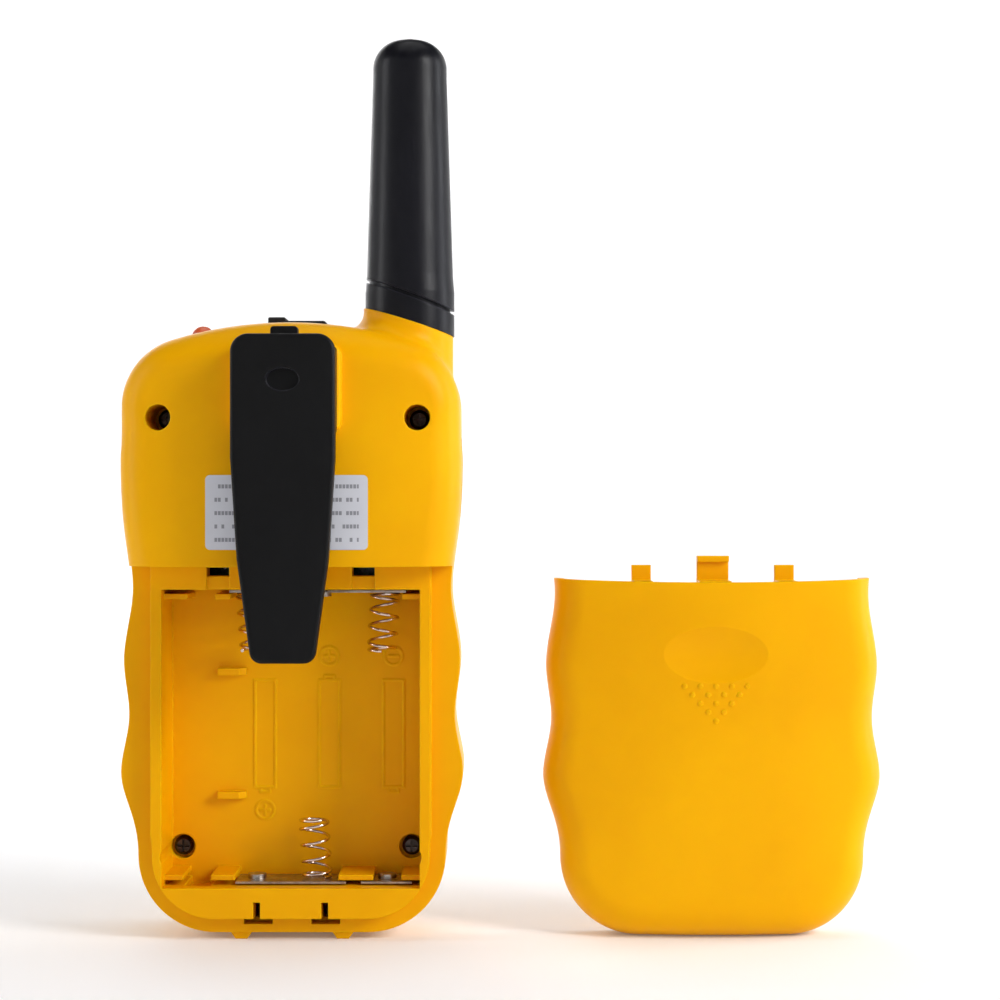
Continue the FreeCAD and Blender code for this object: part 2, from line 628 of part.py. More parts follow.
def rear_bosses():
    """Tubes that carry the four case screws."""
    def tubes(name, side):
        upper_x = side + " * screw_upper_x"
        lower_x = side + " * screw_lower_x"
        return [
            rod("upper_tube_" + name, "boss_radius", (upper_x, "screw_upper_seat - 2",
                "screw_upper_z"), "back_depth - screw_upper_seat + 0.4", "y"),
            rod("lower_tube_" + name, "boss_radius", (lower_x, "screw_lower_seat - 1.2",
                "screw_lower_z"), "bay_floor - screw_lower_seat + 1", "y"),
        ]

    def holes(name, side):
        upper_x = side + " * screw_upper_x"
        lower_x = side + " * screw_lower_x"
        return [
            clearance_hole("upper_sink_" + name, "sink_radius", upper_x, "screw_upper_z",
                           "screw_upper_seat", "far"),
            clearance_hole("upper_hole_" + name, "shank_radius + screw_fit", upper_x,
                           "screw_upper_z", "0 - 5", "screw_upper_seat + 1"),
            clearance_hole("lower_sink_" + name, "sink_radius", lower_x, "screw_lower_z",
                           "screw_lower_seat", "far"),
            clearance_hole("lower_hole_" + name, "shank_radius + screw_fit", lower_x,
                           "screw_lower_z", "0 - 12", "screw_lower_seat + 1"),
        ]

    return both_sides(tubes), both_sides(holes)


def make_rear_casing():
    behind = block("rear_space", ("0 - far", "0", "-5"), ("far", "far", "above"))
    half = overlap("rear_half", outer, behind)
    cover_space = block("cover_space", ("0 - far", "flank_y", "-5"),
                        ("far", "far", "step_level"))
    lowered = cut("rear_lowered", half, [cover_space])

    plateau_slab = feature("plateau_slab", prism(size("plateau_inset"), 0, size("rim_y")))
    plateau = overlap("plateau", plateau_slab,
                      block("plateau_space", ("0 - rim_half", "0", "0"),
                            ("rim_half", "far", "step_level + wall / 2")))
    upper_hollow = overlap("rear_upper_hollow", inner,
                           block("upper_space", ("0 - far", "-1", "step_level + wall"),
                                 ("far", "far", "above")))
    lower_hollow = overlap("rear_lower_hollow", inner,
                           block("lower_space", ("0 - far", "-1", "-5"),
                                 ("far", "flank_y - wall", "step_level + wall")))
    shell = cut("rear_shell", join("rear_solid", [lowered, plateau]),
                [upper_hollow, lower_hollow])

    tub_slab = feature("tub_slab", prism(size("tub_inset"), size("tub_y"), size("flank_y")))
    tub = overlap("tub", tub_slab,
                  block("tub_space", ("0 - rim_half", "-20", "tub_low"),
                        ("rim_half", "far", "tub_high")))
    tubes, holes = rear_bosses()
    inside_tubes = overlap("tubes_inside", join("rear_tubes", tubes), outer)
    boss, track = clip_rail()
    body = join("rear_body", [shell, tub, inside_tubes, boss])

    bay = block("bay", ("0 - bay_half", "bay_floor", "bay_low"), ("bay_half", "far", "bay_high"))
    niche = block("contact_niche", ("niche_low_x", "bay_floor", "bay_low - niche_deep"),
                  ("niche_high_x", "flank_y", "bay_low + 1"))
    torch_hole = rod("torch_hole", "torch_lens_radius + torch_fit",
                     ("torch_x", "torch_y", "torch_led_low"), "far", "z")
    tools = [bay, niche, torch_hole] + track + cover_openings() + top_openings
    cleared = cut("rear_cleared", body, tools)
    fitted = join("rear_fitted", [cleared, bay_ribs()] + bay_posts() + battery_marks())
    piece(cut("rear_casing", fitted, holes), "rear_casing")


# ---------------------------------------------------------------- front casing

def key_spots():
    """Name, X formula and Z formula of each key on the front."""
    return [("key_menu", "0", "key_z"),
            ("key_call", "0 - key_step_x", "key_z"),
            ("key_torch", "key_step_x", "key_z"),
            ("key_up", "0", "key_z + key_step_z"),
            ("key_down", "0", "key_z - key_step_z")]


def is_long_key(name):
    return name in ("key_up", "key_down")


def key_openings(name, extra):
    """Cutters for the keys, a little larger than the keys by an extra margin."""
    tools = []
    for key, x, z in key_spots():
        if is_long_key(key):
            across, up = "key_long_half + " + extra, "key_tall_half + " + extra
            tools.append(block(name + key, ("%s - (%s)" % (x, across), "0 - 20",
                                            "%s - (%s)" % (z, up)),
                               ("%s + %s" % (x, across), "0 - 12", "%s + %s" % (z, up))))
        else:
            tools.append(clearance_hole(name + key, "key_radius + " + extra, x, z,
                                        "0 - 20", "0 - 12"))
    return tools


def grille_slots():
    """Seven level slots over the speaker, as long as its round opening allows."""
    slots = []
    for row in range(-3, 4):
        up = "%d * grille_pitch" % row
        half = "sqrt(grille_radius ^ 2 - (%s) ^ 2)" % up
        slot = doc.addObject("Part::Box", "grille_slot_%d" % (row + 4))
        rules = {"Length": "2 * " + half, "Width": "5", "Height": "grille_slot",
                 "Placement.Base.x": "0 - " + half, "Placement.Base.y": "0 - front_depth - 1",
                 "Placement.Base.z": "speaker_z - grille_slot / 2 + " + up}
        for name, text in rules.items():
            slot.setExpression(name, formula(text).replace("sizes.sqrt", "sqrt"))
        slots.append(slot)
    return slots


def front_bosses():
    """Posts for the screws, pegs for the board and the collar round the speaker."""
    def posts(name, side):
        upper_x = side + " * screw_upper_x"
        lower_x = side + " * screw_lower_x"
        floor = "0 - front_depth + 1"
        upper = rod("upper_post_" + name, "post_radius", (upper_x, floor, "screw_upper_z"),
                    "front_depth - 1 + screw_upper_seat - upper_post_gap", "y")
        lower = rod("lower_post_" + name, "post_radius", (lower_x, floor, "screw_lower_z"),
                    "front_depth - 1 + screw_lower_seat - lower_post_gap", "y")
        pegs = [rod("peg_%s_%s" % (name, level), "peg_radius",
                    (side + " * peg_x", floor, level), "front_depth - 1 + peg_tip_y", "y")
                for level in ("peg_low", "peg_high")]
        return [upper, lower] + pegs

    ring = cut("speaker_ring",
               rod("ring_outside", "speaker_radius + collar_fit + collar_wall",
                   ("0", "0 - front_depth + 1", "speaker_z"), "1 + collar_tall", "y"),
               [rod("ring_inside", "speaker_radius + collar_fit",
                    ("0", "0 - front_depth", "speaker_z"), "far", "y")])
    return both_sides(posts) + [ring]


def front_holes():
    """Holes for the thread of the screws, one pair above and one below."""
    def holes(name, side):
        return [
            clearance_hole("upper_thread_" + name, "shank_radius + screw_fit",
                           side + " * screw_upper_x", "screw_upper_z", "upper_thread_y", "flank_y"),
            clearance_hole("lower_thread_" + name, "shank_radius + screw_fit",
                           side + " * screw_lower_x", "screw_lower_z", "lower_thread_y", "0"),
        ]
    return both_sides(holes)


def make_front_casing():
    ahead = block("front_space", ("0 - far", "0 - far", "-5"), ("far", "0 - parting_gap", "above"))
    half = overlap("front_half", outer, ahead)
    shell = cut("front_shell", half, [inner])
    inside_bosses = overlap("bosses_inside", join("front_bosses", front_bosses()), outer)
    body = join("front_body", [shell, inside_bosses])

    window_seat = block("window_seat",
                        ("0 - glass_half - glass_fit", "0 - 20", "glass_low - glass_fit"),
                        ("glass_half + glass_fit", "glass_y", "glass_high + glass_fit"))
    window = block("window", ("0 - view_half", "0 - 20", "view_low"),
                   ("view_half", "0 - 12", "view_high"))
    mic_hole = clearance_hole("mic_hole", "mic_hole", "mic_x", "mic_z", "0 - 20", "0 - 12")
    talk_hole = block("talk_hole", ("0 - far", "talk_front_y - talk_fit", "talk_low - talk_fit"),
                      ("talk_inner_x", "talk_back_y + talk_fit", "talk_high + talk_fit"))
    tools = [window_seat, window, mic_hole, talk_hole]
    tools += key_openings("hole_", "key_fit") + grille_slots() + front_holes()
    piece(cut("front_casing", body, tools + top_openings), "front_casing")


# ---------------------------------------------------------------- fasteners and label

def make_case_screws():
    """Self-tapping screws: a pan head with a cross recess, and a plain shank."""
    body = new_body("case_screw")
    profile = sketch_on(body, "screw_profile", "XY_Plane")
    draw_outline(profile, [("0", "0 - shank_long"), ("shank_radius * 0.6", "0 - shank_long"),
                           ("shank_radius", "1 - shank_long"), ("shank_radius", "0"),
                           ("head_radius", "0"), ("head_radius", "head_tall * 0.6"),
                           ("head_radius * 0.7", "head_tall"), ("0", "head_tall")])
    turned = revolve(body, "screw_turned", profile)
    for number, (across, up) in enumerate((("recess_half", "recess_thick / 2"),
                                           ("recess_thick / 2", "recess_half"))):
        cross = sketch_on(body, "screw_cross_%d" % number, "XZ_Plane", "0 - head_tall")
        draw_rectangle(cross, ("0 - " + across, "0 - " + up), (across, up))
        pocket(body, "screw_slot_%d" % number, cross, "recess_deep", backward=True)
    doc.recompute()
    if body.Shape.Volume >= turned.Shape.Volume:
        raise RuntimeError("the screw's cross recess cuts nothing")

    for label, x, z, seat in (
            ("case_screws_upper", "screw_upper_x", "screw_upper_z", "screw_upper_seat"),
            ("case_screws_lower", "screw_lower_x", "screw_lower_z", "screw_lower_seat")):
        pair = []
        for side, sign in (("right", "1"), ("left", "-1")):
            # a compound of one gives each copy of the screw a place of its own
            copy = group(label + "_" + side, [body])
            pair.append(place(copy, (sign + " * " + x, seat + " + touch_gap", z)))
        piece(group(label, pair), label)


def make_rating_label():
    """A thin printed label that follows the crown of the casing."""
    plate = block("label_plate", ("0 - label_half", "5", "label_low"),
                  ("label_half", "back_depth + 2", "label_high"))
    plate = softened("label_soft", plate, "label_corner", runs_along("y"))
    middle = ("0", "back_depth - crown_radius", "0")
    outside = rod("label_outside", "crown_radius + label_thick", middle, "above", "z")
    inside = rod("label_inside", "crown_radius", middle, "above", "z")
    piece(cut("rating_label", overlap("label_skin", plate, outside), [inside]), "rating_label")


# ---------------------------------------------------------------- antenna

def make_antenna():
    body = new_body("sleeve_body")
    profile = sketch_on(body, "sleeve_profile", "XZ_Plane")
    collar_top = "groove_level + groove_wide"
    draw_outline(profile, [("0", "sleeve_low"), ("collar_radius", "sleeve_low"),
                           ("collar_radius", collar_top), ("sleeve_radius", collar_top + " + 3"),
                           ("sleeve_tip", "taper_top"), ("sleeve_tip", "sleeve_top"),
                           ("0", "sleeve_top")])
    turned = revolve(body, "sleeve_turned", profile)
    round_off(body, "sleeve_round_top", turned, "sleeve_round",
              level_edge("z", size("sleeve_top")))
    place(body, ("antenna_x", "0", "0"))

    above_neck = slanted_block(size("neck_level") + size("touch_gap"), size("neck_slant"),
                               size("neck_x"), 80.0)
    upper = overlap("sleeve_upper", body, feature("sleeve_space", above_neck))
    spigot = rod("sleeve_spigot", "spigot_radius", ("antenna_x", "0", "spigot_low"), "10", "z")
    nub = rod("sleeve_nub", "nub_radius", ("antenna_x", "0", "sleeve_top - 1"),
              "1 + nub_tall", "z")
    ring = feature("groove_ring", groove_ring())
    bore = rod("sleeve_bore", "sleeve_bore", ("antenna_x", "0", "sleeve_bore_low"),
               "sleeve_bore_top - sleeve_bore_low", "z")
    whole = join("sleeve_whole", [upper, spigot, nub])
    piece(cut("antenna_sleeve", whole, [bore, ring]), "antenna_sleeve")

    coil_low = ("antenna_x", "0", "coil_low")
    piece(helix_wire("antenna_coil", "coil_radius", "coil_wire", "coil_pitch", "coil_tall",
                     coil_low), "antenna_coil")
    piece(rod("antenna_ferrule", "ferrule_radius", ("antenna_x", "0", "ferrule_low"),
              "ferrule_high - ferrule_low", "z"), "antenna_ferrule")


def groove_ring():
    """A tilted ring that cuts the groove round the foot of the sleeve."""
    wide = size("groove_wide")
    outside = Part.makeCylinder(14, wide, Vector(0, 0, -wide / 2))
    inside = Part.makeCylinder(size("groove_floor"), 40, Vector(0, 0, -20))
    outside.rotate(Vector(), Vector(0, 1, 0), -size("groove_slant"))
    ring = outside.cut(inside)
    ring.translate(Vector(size("antenna_x"), 0, size("groove_level")))
    return ring


def helix_wire(name, radius, wire, pitch, tall, start):
    """A round wire swept along a helix."""
    path = doc.addObject("Part::Helix", name + "_path")
    bind(path, Radius=radius, Pitch=pitch, Height=tall)
    section = doc.addObject("Part::Circle", name + "_section")
    bind(section, Radius=wire)
    section.Placement = Placement(Vector(size(radius), 0, 0), Rotation(Vector(1, 0, 0), 90))
    section.setExpression("Placement.Base.x", formula(radius))
    sweep = doc.addObject("Part::Sweep", name)
    sweep.Sections = [section]
    sweep.Spine = path
    sweep.Solid = True
    sweep.Frenet = True
    return place(sweep, start)


# ---------------------------------------------------------------- belt clip

def make_clip():
    inner_y = "rail_y + track_fit"
    plate_top = "clip_in_y - clip_gap"
    plate = block("clip_plate", ("0 - clip_half", inner_y, "rail_low"),
                  ("clip_half", plate_top, "clip_top - clip_plate_drop"))
    plate = softened("clip_plate_soft", plate, "clip_edge_round", runs_along("y"))
    flange = block("clip_flange", ("track_fit - track_half", "track_y + track_fit",
                                   "track_stop + track_fit"),
                   ("track_half - track_fit", "track_lip_y - track_fit", "rail_high"))
    neck = block("clip_neck", ("track_fit - track_neck", "track_lip_y - 0.5",
                               "track_stop + track_fit"),
                 ("track_neck - track_fit", inner_y + " + 0.5", "rail_high"))
    latch = block("clip_latch", ("0 - latch_half", "latch_low_y", "clip_top - 1"),
                  ("latch_half", plate_top + " - latch_inset", "latch_top"))
    latch = softened("clip_latch_soft", latch, "clip_edge_round", runs_along("y"))
    seat = rod("knuckle_seat", "knuckle_radius + knuckle_fit",
               ("0 - far / 2", "knuckle_y", "clip_top"), "far", "x")
    foot = join("clip_foot", [plate, flange, neck, latch])
    piece(cut("clip_base", foot, [seat]), "clip_base")

    body = new_body("clip_arm")
    face = sketch_on(body, "clip_face", "XZ_Plane", "0 - clip_out_y")
    crest = "clip_top + knuckle_radius"
    draw_outline(face, [("0 - clip_tip_half", "clip_tip"), ("clip_tip_half", "clip_tip"),
                        ("clip_middle_half", "clip_middle"), ("clip_half", "clip_shoulder"),
                        ("clip_half", crest), ("0 - clip_half", crest),
                        ("0 - clip_half", "clip_shoulder"),
                        ("0 - clip_middle_half", "clip_middle")])
    slab = pad(body, "clip_slab", face, "clip_out_y - clip_in_y")
    at_tip = level_edge("z", size("clip_tip"))
    upright = runs_along("y")
    tip = round_off(body, "clip_tip_corners", slab, "clip_tip_round",
                    lambda edge: upright(edge) and at_tip(edge))
    at_crest = level_edge("z", size("clip_top") + size("knuckle_radius"))
    top = round_off(body, "clip_top_corners", tip, "clip_corner",
                    lambda edge: upright(edge) and at_crest(edge))
    round_off(body, "clip_soft_edge", top, "clip_edge_round", level_edge("y", size("clip_out_y")))
    knuckle = rod("clip_knuckle", "knuckle_radius",
                  ("clip_corner - clip_half", "knuckle_y", "clip_top"),
                  "2 * (clip_half - clip_corner)", "x")
    tip_rib = block("clip_tip_rib", ("0 - tip_rib_half", "tip_rib_y", "tip_rib_low"),
                    ("tip_rib_half", "clip_in_y + 0.5", "tip_rib_high"))
    tip_rib = softened("clip_tip_rib_soft", tip_rib, "clip_edge_round",
                       level_edge("y", size("tip_rib_y")))
    oval = doc.addObject("Part::Ellipse", "dimple_oval")
    bind(oval, MajorRadius="dimple_long", MinorRadius="dimple_tall")
    oval.Placement = Placement(Vector(), Rotation(Vector(1, 0, 0), 90))
    place(oval, ("0", "clip_out_y + 1", "dimple_z"))
    dimple = doc.addObject("Part::Extrusion", "dimple")
    dimple.Base = oval
    dimple.Dir = Vector(0, -1, 0)
    dimple.DirMode = "Custom"
    dimple.Solid = True
    dimple.FaceMakerClass = "Part::FaceMakerBullseye"
    bind(dimple, LengthFwd="1 + dimple_deep")
    arm = join("clip_arm_whole", [body, knuckle, tip_rib])
    piece(cut("belt_clip", arm, [dimple]), "belt_clip")


# ---------------------------------------------------------------- jack and dust cover

def make_jack():
    barrel = block("jack_barrel", ("jack_x - jack_half", "board_back_y", "jack_low"),
                   ("jack_x + jack_half", "jack_back_y", "jack_shoulder"))
    nose = rod("jack_nose", "jack_nose", ("jack_x", "0", "jack_shoulder - 1"),
               "jack_top - jack_shoulder + 1", "z")
    bore = rod("jack_bore", "jack_bore", ("jack_x", "0", "jack_bore_low"), "far", "z")
    piece(cut("headset_jack", join("jack_whole", [barrel, nose]), [bore]), "headset_jack")

    low_z = "dust_level - dust_half_thick"
    high_z = "dust_level + dust_half_thick"
    strip = block("dust_strip", ("dust_low_x", "0 - dust_half_y", low_z),
                  ("dust_high_x", "dust_half_y", high_z))
    lump = block("dust_lump", ("dust_high_x - dust_lump_long", "0 - dust_half_y", low_z),
                 ("dust_high_x", "dust_half_y", "dust_lump"))
    lump = softened("dust_lump_soft", lump, "dust_fit", level_edge("z", size("dust_lump")))
    barrel = rod("dust_barrel", "dust_half_thick",
                 ("dust_low_x", "0 - dust_half_y", "dust_level"), "2 * dust_half_y", "y")
    piece(join("jack_cover", [strip, lump, barrel]), "jack_cover")


# ---------------------------------------------------------------- torch

def make_torch():
    body = new_body("lens_body")
    profile = sketch_on(body, "lens_profile", "XZ_Plane")
    radius = "torch_lens_radius"
    draw_outline(profile, [("0", "torch_low"), (radius, "torch_low"),
                           (radius, "torch_top + " + radius), ("0", "torch_top + " + radius)])
    turned = revolve(body, "lens_turned", profile)
    top = size("torch_top") + size("torch_lens_radius")
    doc.recompute()
    dome = body.newObject("PartDesign::Fillet", "lens_dome")
    dome.Base = (turned, ["Edge%d" % n for n in edges_where(turned.Shape, level_edge("z", top))])
    bind(dome, Radius=radius + " - parting_gap")
    place(body, ("torch_x", "torch_y", "0"))
    piece(body, "torch_lens")

    bulb = rod("led_bulb", "torch_led_radius", ("torch_x", "torch_y", "torch_led_low"),
               "torch_low - torch_led_low - 0.2", "z")
    legs = [block("led_leg_%d" % number,
                  ("torch_x - led_leg_half %s led_leg_x" % sign, "torch_y - led_leg_half",
                   "torch_led_low - led_leg_long"),
                  ("torch_x + led_leg_half %s led_leg_x" % sign, "torch_y + led_leg_half",
                   "torch_led_low + 1"))
            for number, sign in enumerate(("-", "+"))]
    piece(join("torch_led", [bulb] + legs), "torch_led")


# ---------------------------------------------------------------- circuit board and display

def make_board():
    body = new_body("board_body")
    face = sketch_on(body, "board_face", "XZ_Plane", "0 - board_back_y")
    draw_rectangle(face, ("0 - board_half", "board_low"), ("board_half", "board_high"))
    slab = pad(body, "board_slab", face, "board_thick")
    holes = sketch_on(body, "board_holes", "XZ_Plane", "0 - board_back_y")
    for side in ("", "0 - "):
        for level in ("peg_low", "peg_high"):
            draw_circle(holes, (side + "peg_x", level), "peg_hole")
    pocket(body, "board_drilled", holes, "board_thick", backward=True)
    doc.recompute()
    if body.Shape.Volume >= slab.Shape.Volume - 1:
        raise RuntimeError("the board's holes cut nothing")
    piece(body, "main_board")

    back = "board_back_y"
    piece(softened("shield_soft",
                   block("shield_can", ("can_low_x", back, "can_low"),
                         ("can_high_x", back + " + can_tall", "can_high")),
                   "clip_edge_round", runs_along("y")), "rf_shield")
    piece(block("chip", ("chip_x", back, "chip_low"),
                ("chip_x + chip_side", back + " + chip_tall", "chip_low + chip_side")),
          "radio_chip")
    piece(rod("crystal_can", "crystal_radius", ("chip_x", back + " + crystal_radius",
                                                "crystal_low"), "crystal_long", "x"),
          "crystal")
    piece(rod("capacitor_can", "drum_radius", ("drum_x", back, "drum_z"), "drum_long", "y"),
          "capacitor")
    body_of_switch = block("switch_case", ("switch_low_x", back, "switch_z - switch_half"),
                           ("switch_high_x", back + " + switch_tall", "switch_z + switch_half"))
    nib = rod("switch_nib", "switch_nib_radius", ("switch_low_x - switch_nib", "talk_y",
                                                  "switch_z"), "1", "x")
    piece(join("talk_switch_whole", [body_of_switch, nib]), "talk_switch")


def make_display():
    front = "board_back_y - board_thick"
    piece(block("lcd", ("0 - lcd_half", front + " - lcd_thick", "lcd_low"),
                ("lcd_half", front, "lcd_high")), "display_panel")
    pane = block("pane", ("0 - glass_half", "glass_y - glass_thick", "glass_low"),
                 ("glass_half", "glass_y", "glass_high"))
    piece(softened("pane_soft", pane, "label_corner", runs_along("y")), "display_window")

    plate = block("trim_plate", ("0 - trim_half", "0 - front_depth - trim_thick", "trim_low"),
                  ("trim_half", "0 - front_depth", "trim_high"))
    plate = softened("trim_soft", plate, "trim_round", runs_along("y"))
    opening = block("trim_window",
                    ("0 - glass_half - glass_fit", "0 - 20", "glass_low - glass_fit"),
                    ("glass_half + glass_fit", "0 - 12", "glass_high + glass_fit"))
    piece(cut("front_trim", plate, [opening] + key_openings("trim_", "2 * key_fit")),
          "front_trim")


# ---------------------------------------------------------------- keys

def make_keys():
    for name, x, z in key_spots():
        body = new_body(name + "_body")
        offset = "key_flange_y - key_flange_thick"

        def face(part, grow):
            sketch = sketch_on(body, name + part, "XZ_Plane", offset)
            if is_long_key(name):
                draw_rectangle(sketch,
                               ("%s - key_long_half - %s" % (x, grow),
                                "%s - key_tall_half - %s" % (z, grow)),
                               ("%s + key_long_half + %s" % (x, grow),
                                "%s + key_tall_half + %s" % (z, grow)))
            else:
                draw_circle(sketch, (x, z), "key_radius + " + grow)
            return sketch

        pad(body, name + "_flange", face("_flange_face", "key_flange"), "key_flange_thick")
        cap = pad(body, name + "_cap", face("_cap_face", "0"), "key_front_y - (%s)" % offset)
        round_off(body, name + "_soft", cap, "key_round",
                  level_edge("y", -size("key_front_y")))
        stem = sketch_on(body, name + "_stem_face", "XZ_Plane", offset)
        draw_circle(stem, (x, z), "key_plunger")
        pad(body, name + "_stem", stem, "key_plunger_long", backward=True)
        piece(body, name)

    front = "board_back_y - board_thick"
    sheet_of_rubber = block("mat_sheet", ("0 - mat_half", front + " - mat_thick", "mat_low"),
                            ("mat_half", front, "mat_high"))
    domes = [rod("dome_" + name, "dome_radius", (x, front + " - mat_thick - dome_tall", z),
                 "dome_tall + 0.1", "y") for name, x, z in key_spots()]
    piece(join("mat_whole", [sheet_of_rubber] + domes), "keypad_mat")


def make_talk_key():
    """The push-to-talk key: its face follows the casing's side."""
    skin = feature("talk_skin", crowned(size("talk_inset"), size("front_round"),
                                        size("back_round") - 0.1))
    window = block("talk_window", ("0 - far", "talk_front_y", "talk_low"),
                   ("talk_inner_x", "talk_back_y", "talk_high"))
    face = overlap("talk_face", skin, window)
    flange = block("talk_flange",
                   ("talk_inner_x - talk_flange", "talk_front_y - talk_grow",
                    "talk_low - talk_grow"),
                   ("talk_inner_x", "talk_back_y + talk_grow", "talk_high + talk_grow"))
    plunger = rod("talk_plunger", "talk_plunger", ("talk_inner_x - 0.5", "talk_y", "talk_z"),
                  "talk_plunger_x - talk_inner_x + 0.5", "x")
    piece(join("talk_whole", [face, flange, plunger]), "talk_key")


# ---------------------------------------------------------------- speaker and microphone

def round_part(name, label, profile, z):
    """A turned piece whose axis runs along Y through (0, z)."""
    body = new_body(name)
    sketch = sketch_on(body, name + "_profile", "XY_Plane")
    draw_outline(sketch, profile)
    revolve(body, name + "_turned", sketch)
    place(body, ("0", "0", z))
    return piece(body, label)


def make_speaker():
    front = "speaker_front_y"
    round_part("basket", "speaker_frame", [
        ("cone_radius", front), ("speaker_radius", front),
        ("speaker_radius", front + " + speaker_lip"), ("cone_radius + 0.4",
                                                       front + " + speaker_lip"),
        ("basket_radius + 0.4", "basket_y"), ("magnet_radius - 2", "basket_y"),
        ("magnet_radius - 2", "basket_y - 0.5"), ("basket_radius", "basket_y - 0.5"),
        ("cone_radius", front + " + speaker_lip - 0.3")], "speaker_z")
    round_part("magnet", "speaker_magnet", [
        ("0", "basket_y"), ("magnet_radius", "basket_y"), ("magnet_radius", "magnet_y"),
        ("0", "magnet_y")], "speaker_z")
    round_part("cone", "speaker_cone", [
        ("0", front + " + cone_deep - 1"), ("cone_cap", front + " + cone_deep - 0.4"),
        ("cone_radius - 0.2", front + " + 0.1"),
        ("cone_radius - 0.2", front + " + 0.1 + cone_thick"),
        ("cone_cap", front + " + cone_deep - 0.4 + cone_thick"),
        ("0", front + " + cone_deep - 1 + cone_thick")], "speaker_z")
    piece(rod("cloth_disc", "speaker_radius", ("0", front + " - cloth_thick", "speaker_z"),
              "cloth_thick", "y"), "speaker_cloth")


def make_microphone():
    floor = "0 - front_depth + wall"
    capsule = rod("mic_capsule", "mic_radius", ("mic_x", floor + " + 0.5", "mic_z"),
                  "mic_tall", "y")
    piece(capsule, "microphone")
    boot = rod("mic_boot_outside", "mic_boot", ("mic_x", floor, "mic_z"), "mic_tall", "y")
    hollow = rod("mic_boot_inside", "mic_radius", ("mic_x", floor + " + 0.5", "mic_z"),
                 "far", "y")
    port = rod("mic_port", "mic_hole", ("mic_x", floor + " - 1", "mic_z"), "5", "y")
    piece(cut("mic_boot_whole", boot, [hollow, port]), "microphone_boot")


# ---------------------------------------------------------------- battery contacts

def make_contacts():
    """Leaves at both ends of the bay, and the springs that press on the cells."""
    first, second, third = ("cell_x", "cell_x - cell_pitch", "cell_x - 2 * cell_pitch")
    low_z = "bay_low + leaf_gap"
    high_z = "bay_high - leaf_gap - leaf_thick"

    def leaf(name, start, end, z):
        return block(name + "_leaf", (start, "cell_y - leaf_half_y", z),
                     (end, "cell_y + leaf_half_y", z + " + leaf_thick"))

    def bump(name, x, z):
        return rod(name + "_bump", "bump_radius", (x, "cell_y", z), "bump_tall + 0.1", "z")

    piece(join("low_link", [
        leaf("low_link", second + " - leaf_half", first + " + leaf_half - leaf_trim", low_z),
        bump("low_link", first, low_z + " + leaf_thick - 0.1")]), "contact_link_lower")
    piece(join("high_link", [
        leaf("high_link", third + " - leaf_half + leaf_trim", second + " + leaf_half", high_z),
        bump("high_link", second, high_z + " - bump_tall")]), "contact_link_upper")
    piece(leaf("minus", first + " - leaf_half + minus_trim", first + " + leaf_half", high_z),
          "contact_negative")
    piece(join("plus", [leaf("plus", third + " - leaf_half", third + " + leaf_half", low_z),
                        bump("plus", third, low_z + " + leaf_thick - 0.1")]),
          "contact_positive")

    lower_start = low_z + " + leaf_thick + spring_wire + touch_gap"
    upper_start = high_z + " - spring_wire - touch_gap - spring_long"
    springs = [helix_wire("spring_first", "spring_radius", "spring_wire", "spring_pitch",
                          "spring_long", ("first_spring_x", "cell_y", upper_start)),
               helix_wire("spring_third", "spring_radius", "spring_wire", "spring_pitch",
                          "spring_long", ("third_spring_x", "cell_y", upper_start))]
    piece(group("upper_springs", springs), "battery_springs_upper")
    piece(helix_wire("spring_second", "spring_radius", "spring_wire", "spring_pitch",
                     "spring_long", ("second_spring_x", "cell_y", lower_start)),
          "battery_spring_lower")


# ---------------------------------------------------------------- battery cover

def cover_hooks():
    """Two flat tabs and a hooked one at the top, and two T hooks at the foot."""
    def tab(name, x, half, top):
        web = block("tab_web_" + name,
                    ("(%s) - (%s)" % (x, half), "cover_tab_low_y", "cover_tab_low"),
                    ("(%s) + (%s)" % (x, half), "cover_wall_y", "cover_tab_low + cover_tab_web"))
        leg = block("tab_leg_" + name,
                    ("(%s) - (%s)" % (x, half), "cover_tab_low_y", "cover_tab_low"),
                    ("(%s) + (%s)" % (x, half), "cover_tab_high_y", top))
        return [web, leg]

    def tee(name, side):
        x = side + " * tee_x"
        neck = block("tee_neck_" + name, (x + " - tee_neck_half", "tee_head_low_y", "tee_low"),
                     (x + " + tee_neck_half", "cover_wall_y - 0.6", "tee_low + tee_tall"))
        head = block("tee_head_" + name, (x + " - tee_head_half", "tee_head_low_y", "tee_low"),
                     (x + " + tee_head_half", "tee_head_high_y", "tee_low + tee_tall"))
        return [neck, head]

    parts = both_sides(lambda name, side: tab(name, side + " * tab_x", "cover_tab_half",
                                              "cover_tab_top"))
    parts += tab("middle", "0", "cover_hook_half", "cover_hook_top")
    parts.append(block("hook_bump", ("0 - cover_hook_half", "cover_tab_low_y",
                                     "cover_hook_top - cover_hook_bump"),
                       ("cover_hook_half", "cover_hook_y", "cover_hook_top")))
    return parts + both_sides(tee)


def cover_dots():
    """A triangle of small raised dots that points down: five, four, three, two, one."""
    dots = []
    for row in range(5):
        count = 5 - row
        for place_in_row in range(count):
            x = "%.1f * dot_across" % (place_in_row - (count - 1) / 2)
            height = "back_depth + dot_proud - dot_root_y - (%s) ^ 2 / (2 * crown_radius)" % x
            dots.append(rod("dot_%d_%d" % (row, place_in_row), "dot_radius",
                            (x, "dot_root_y", "dot_top - %d * dot_down" % row), height, "y"))
    return dots


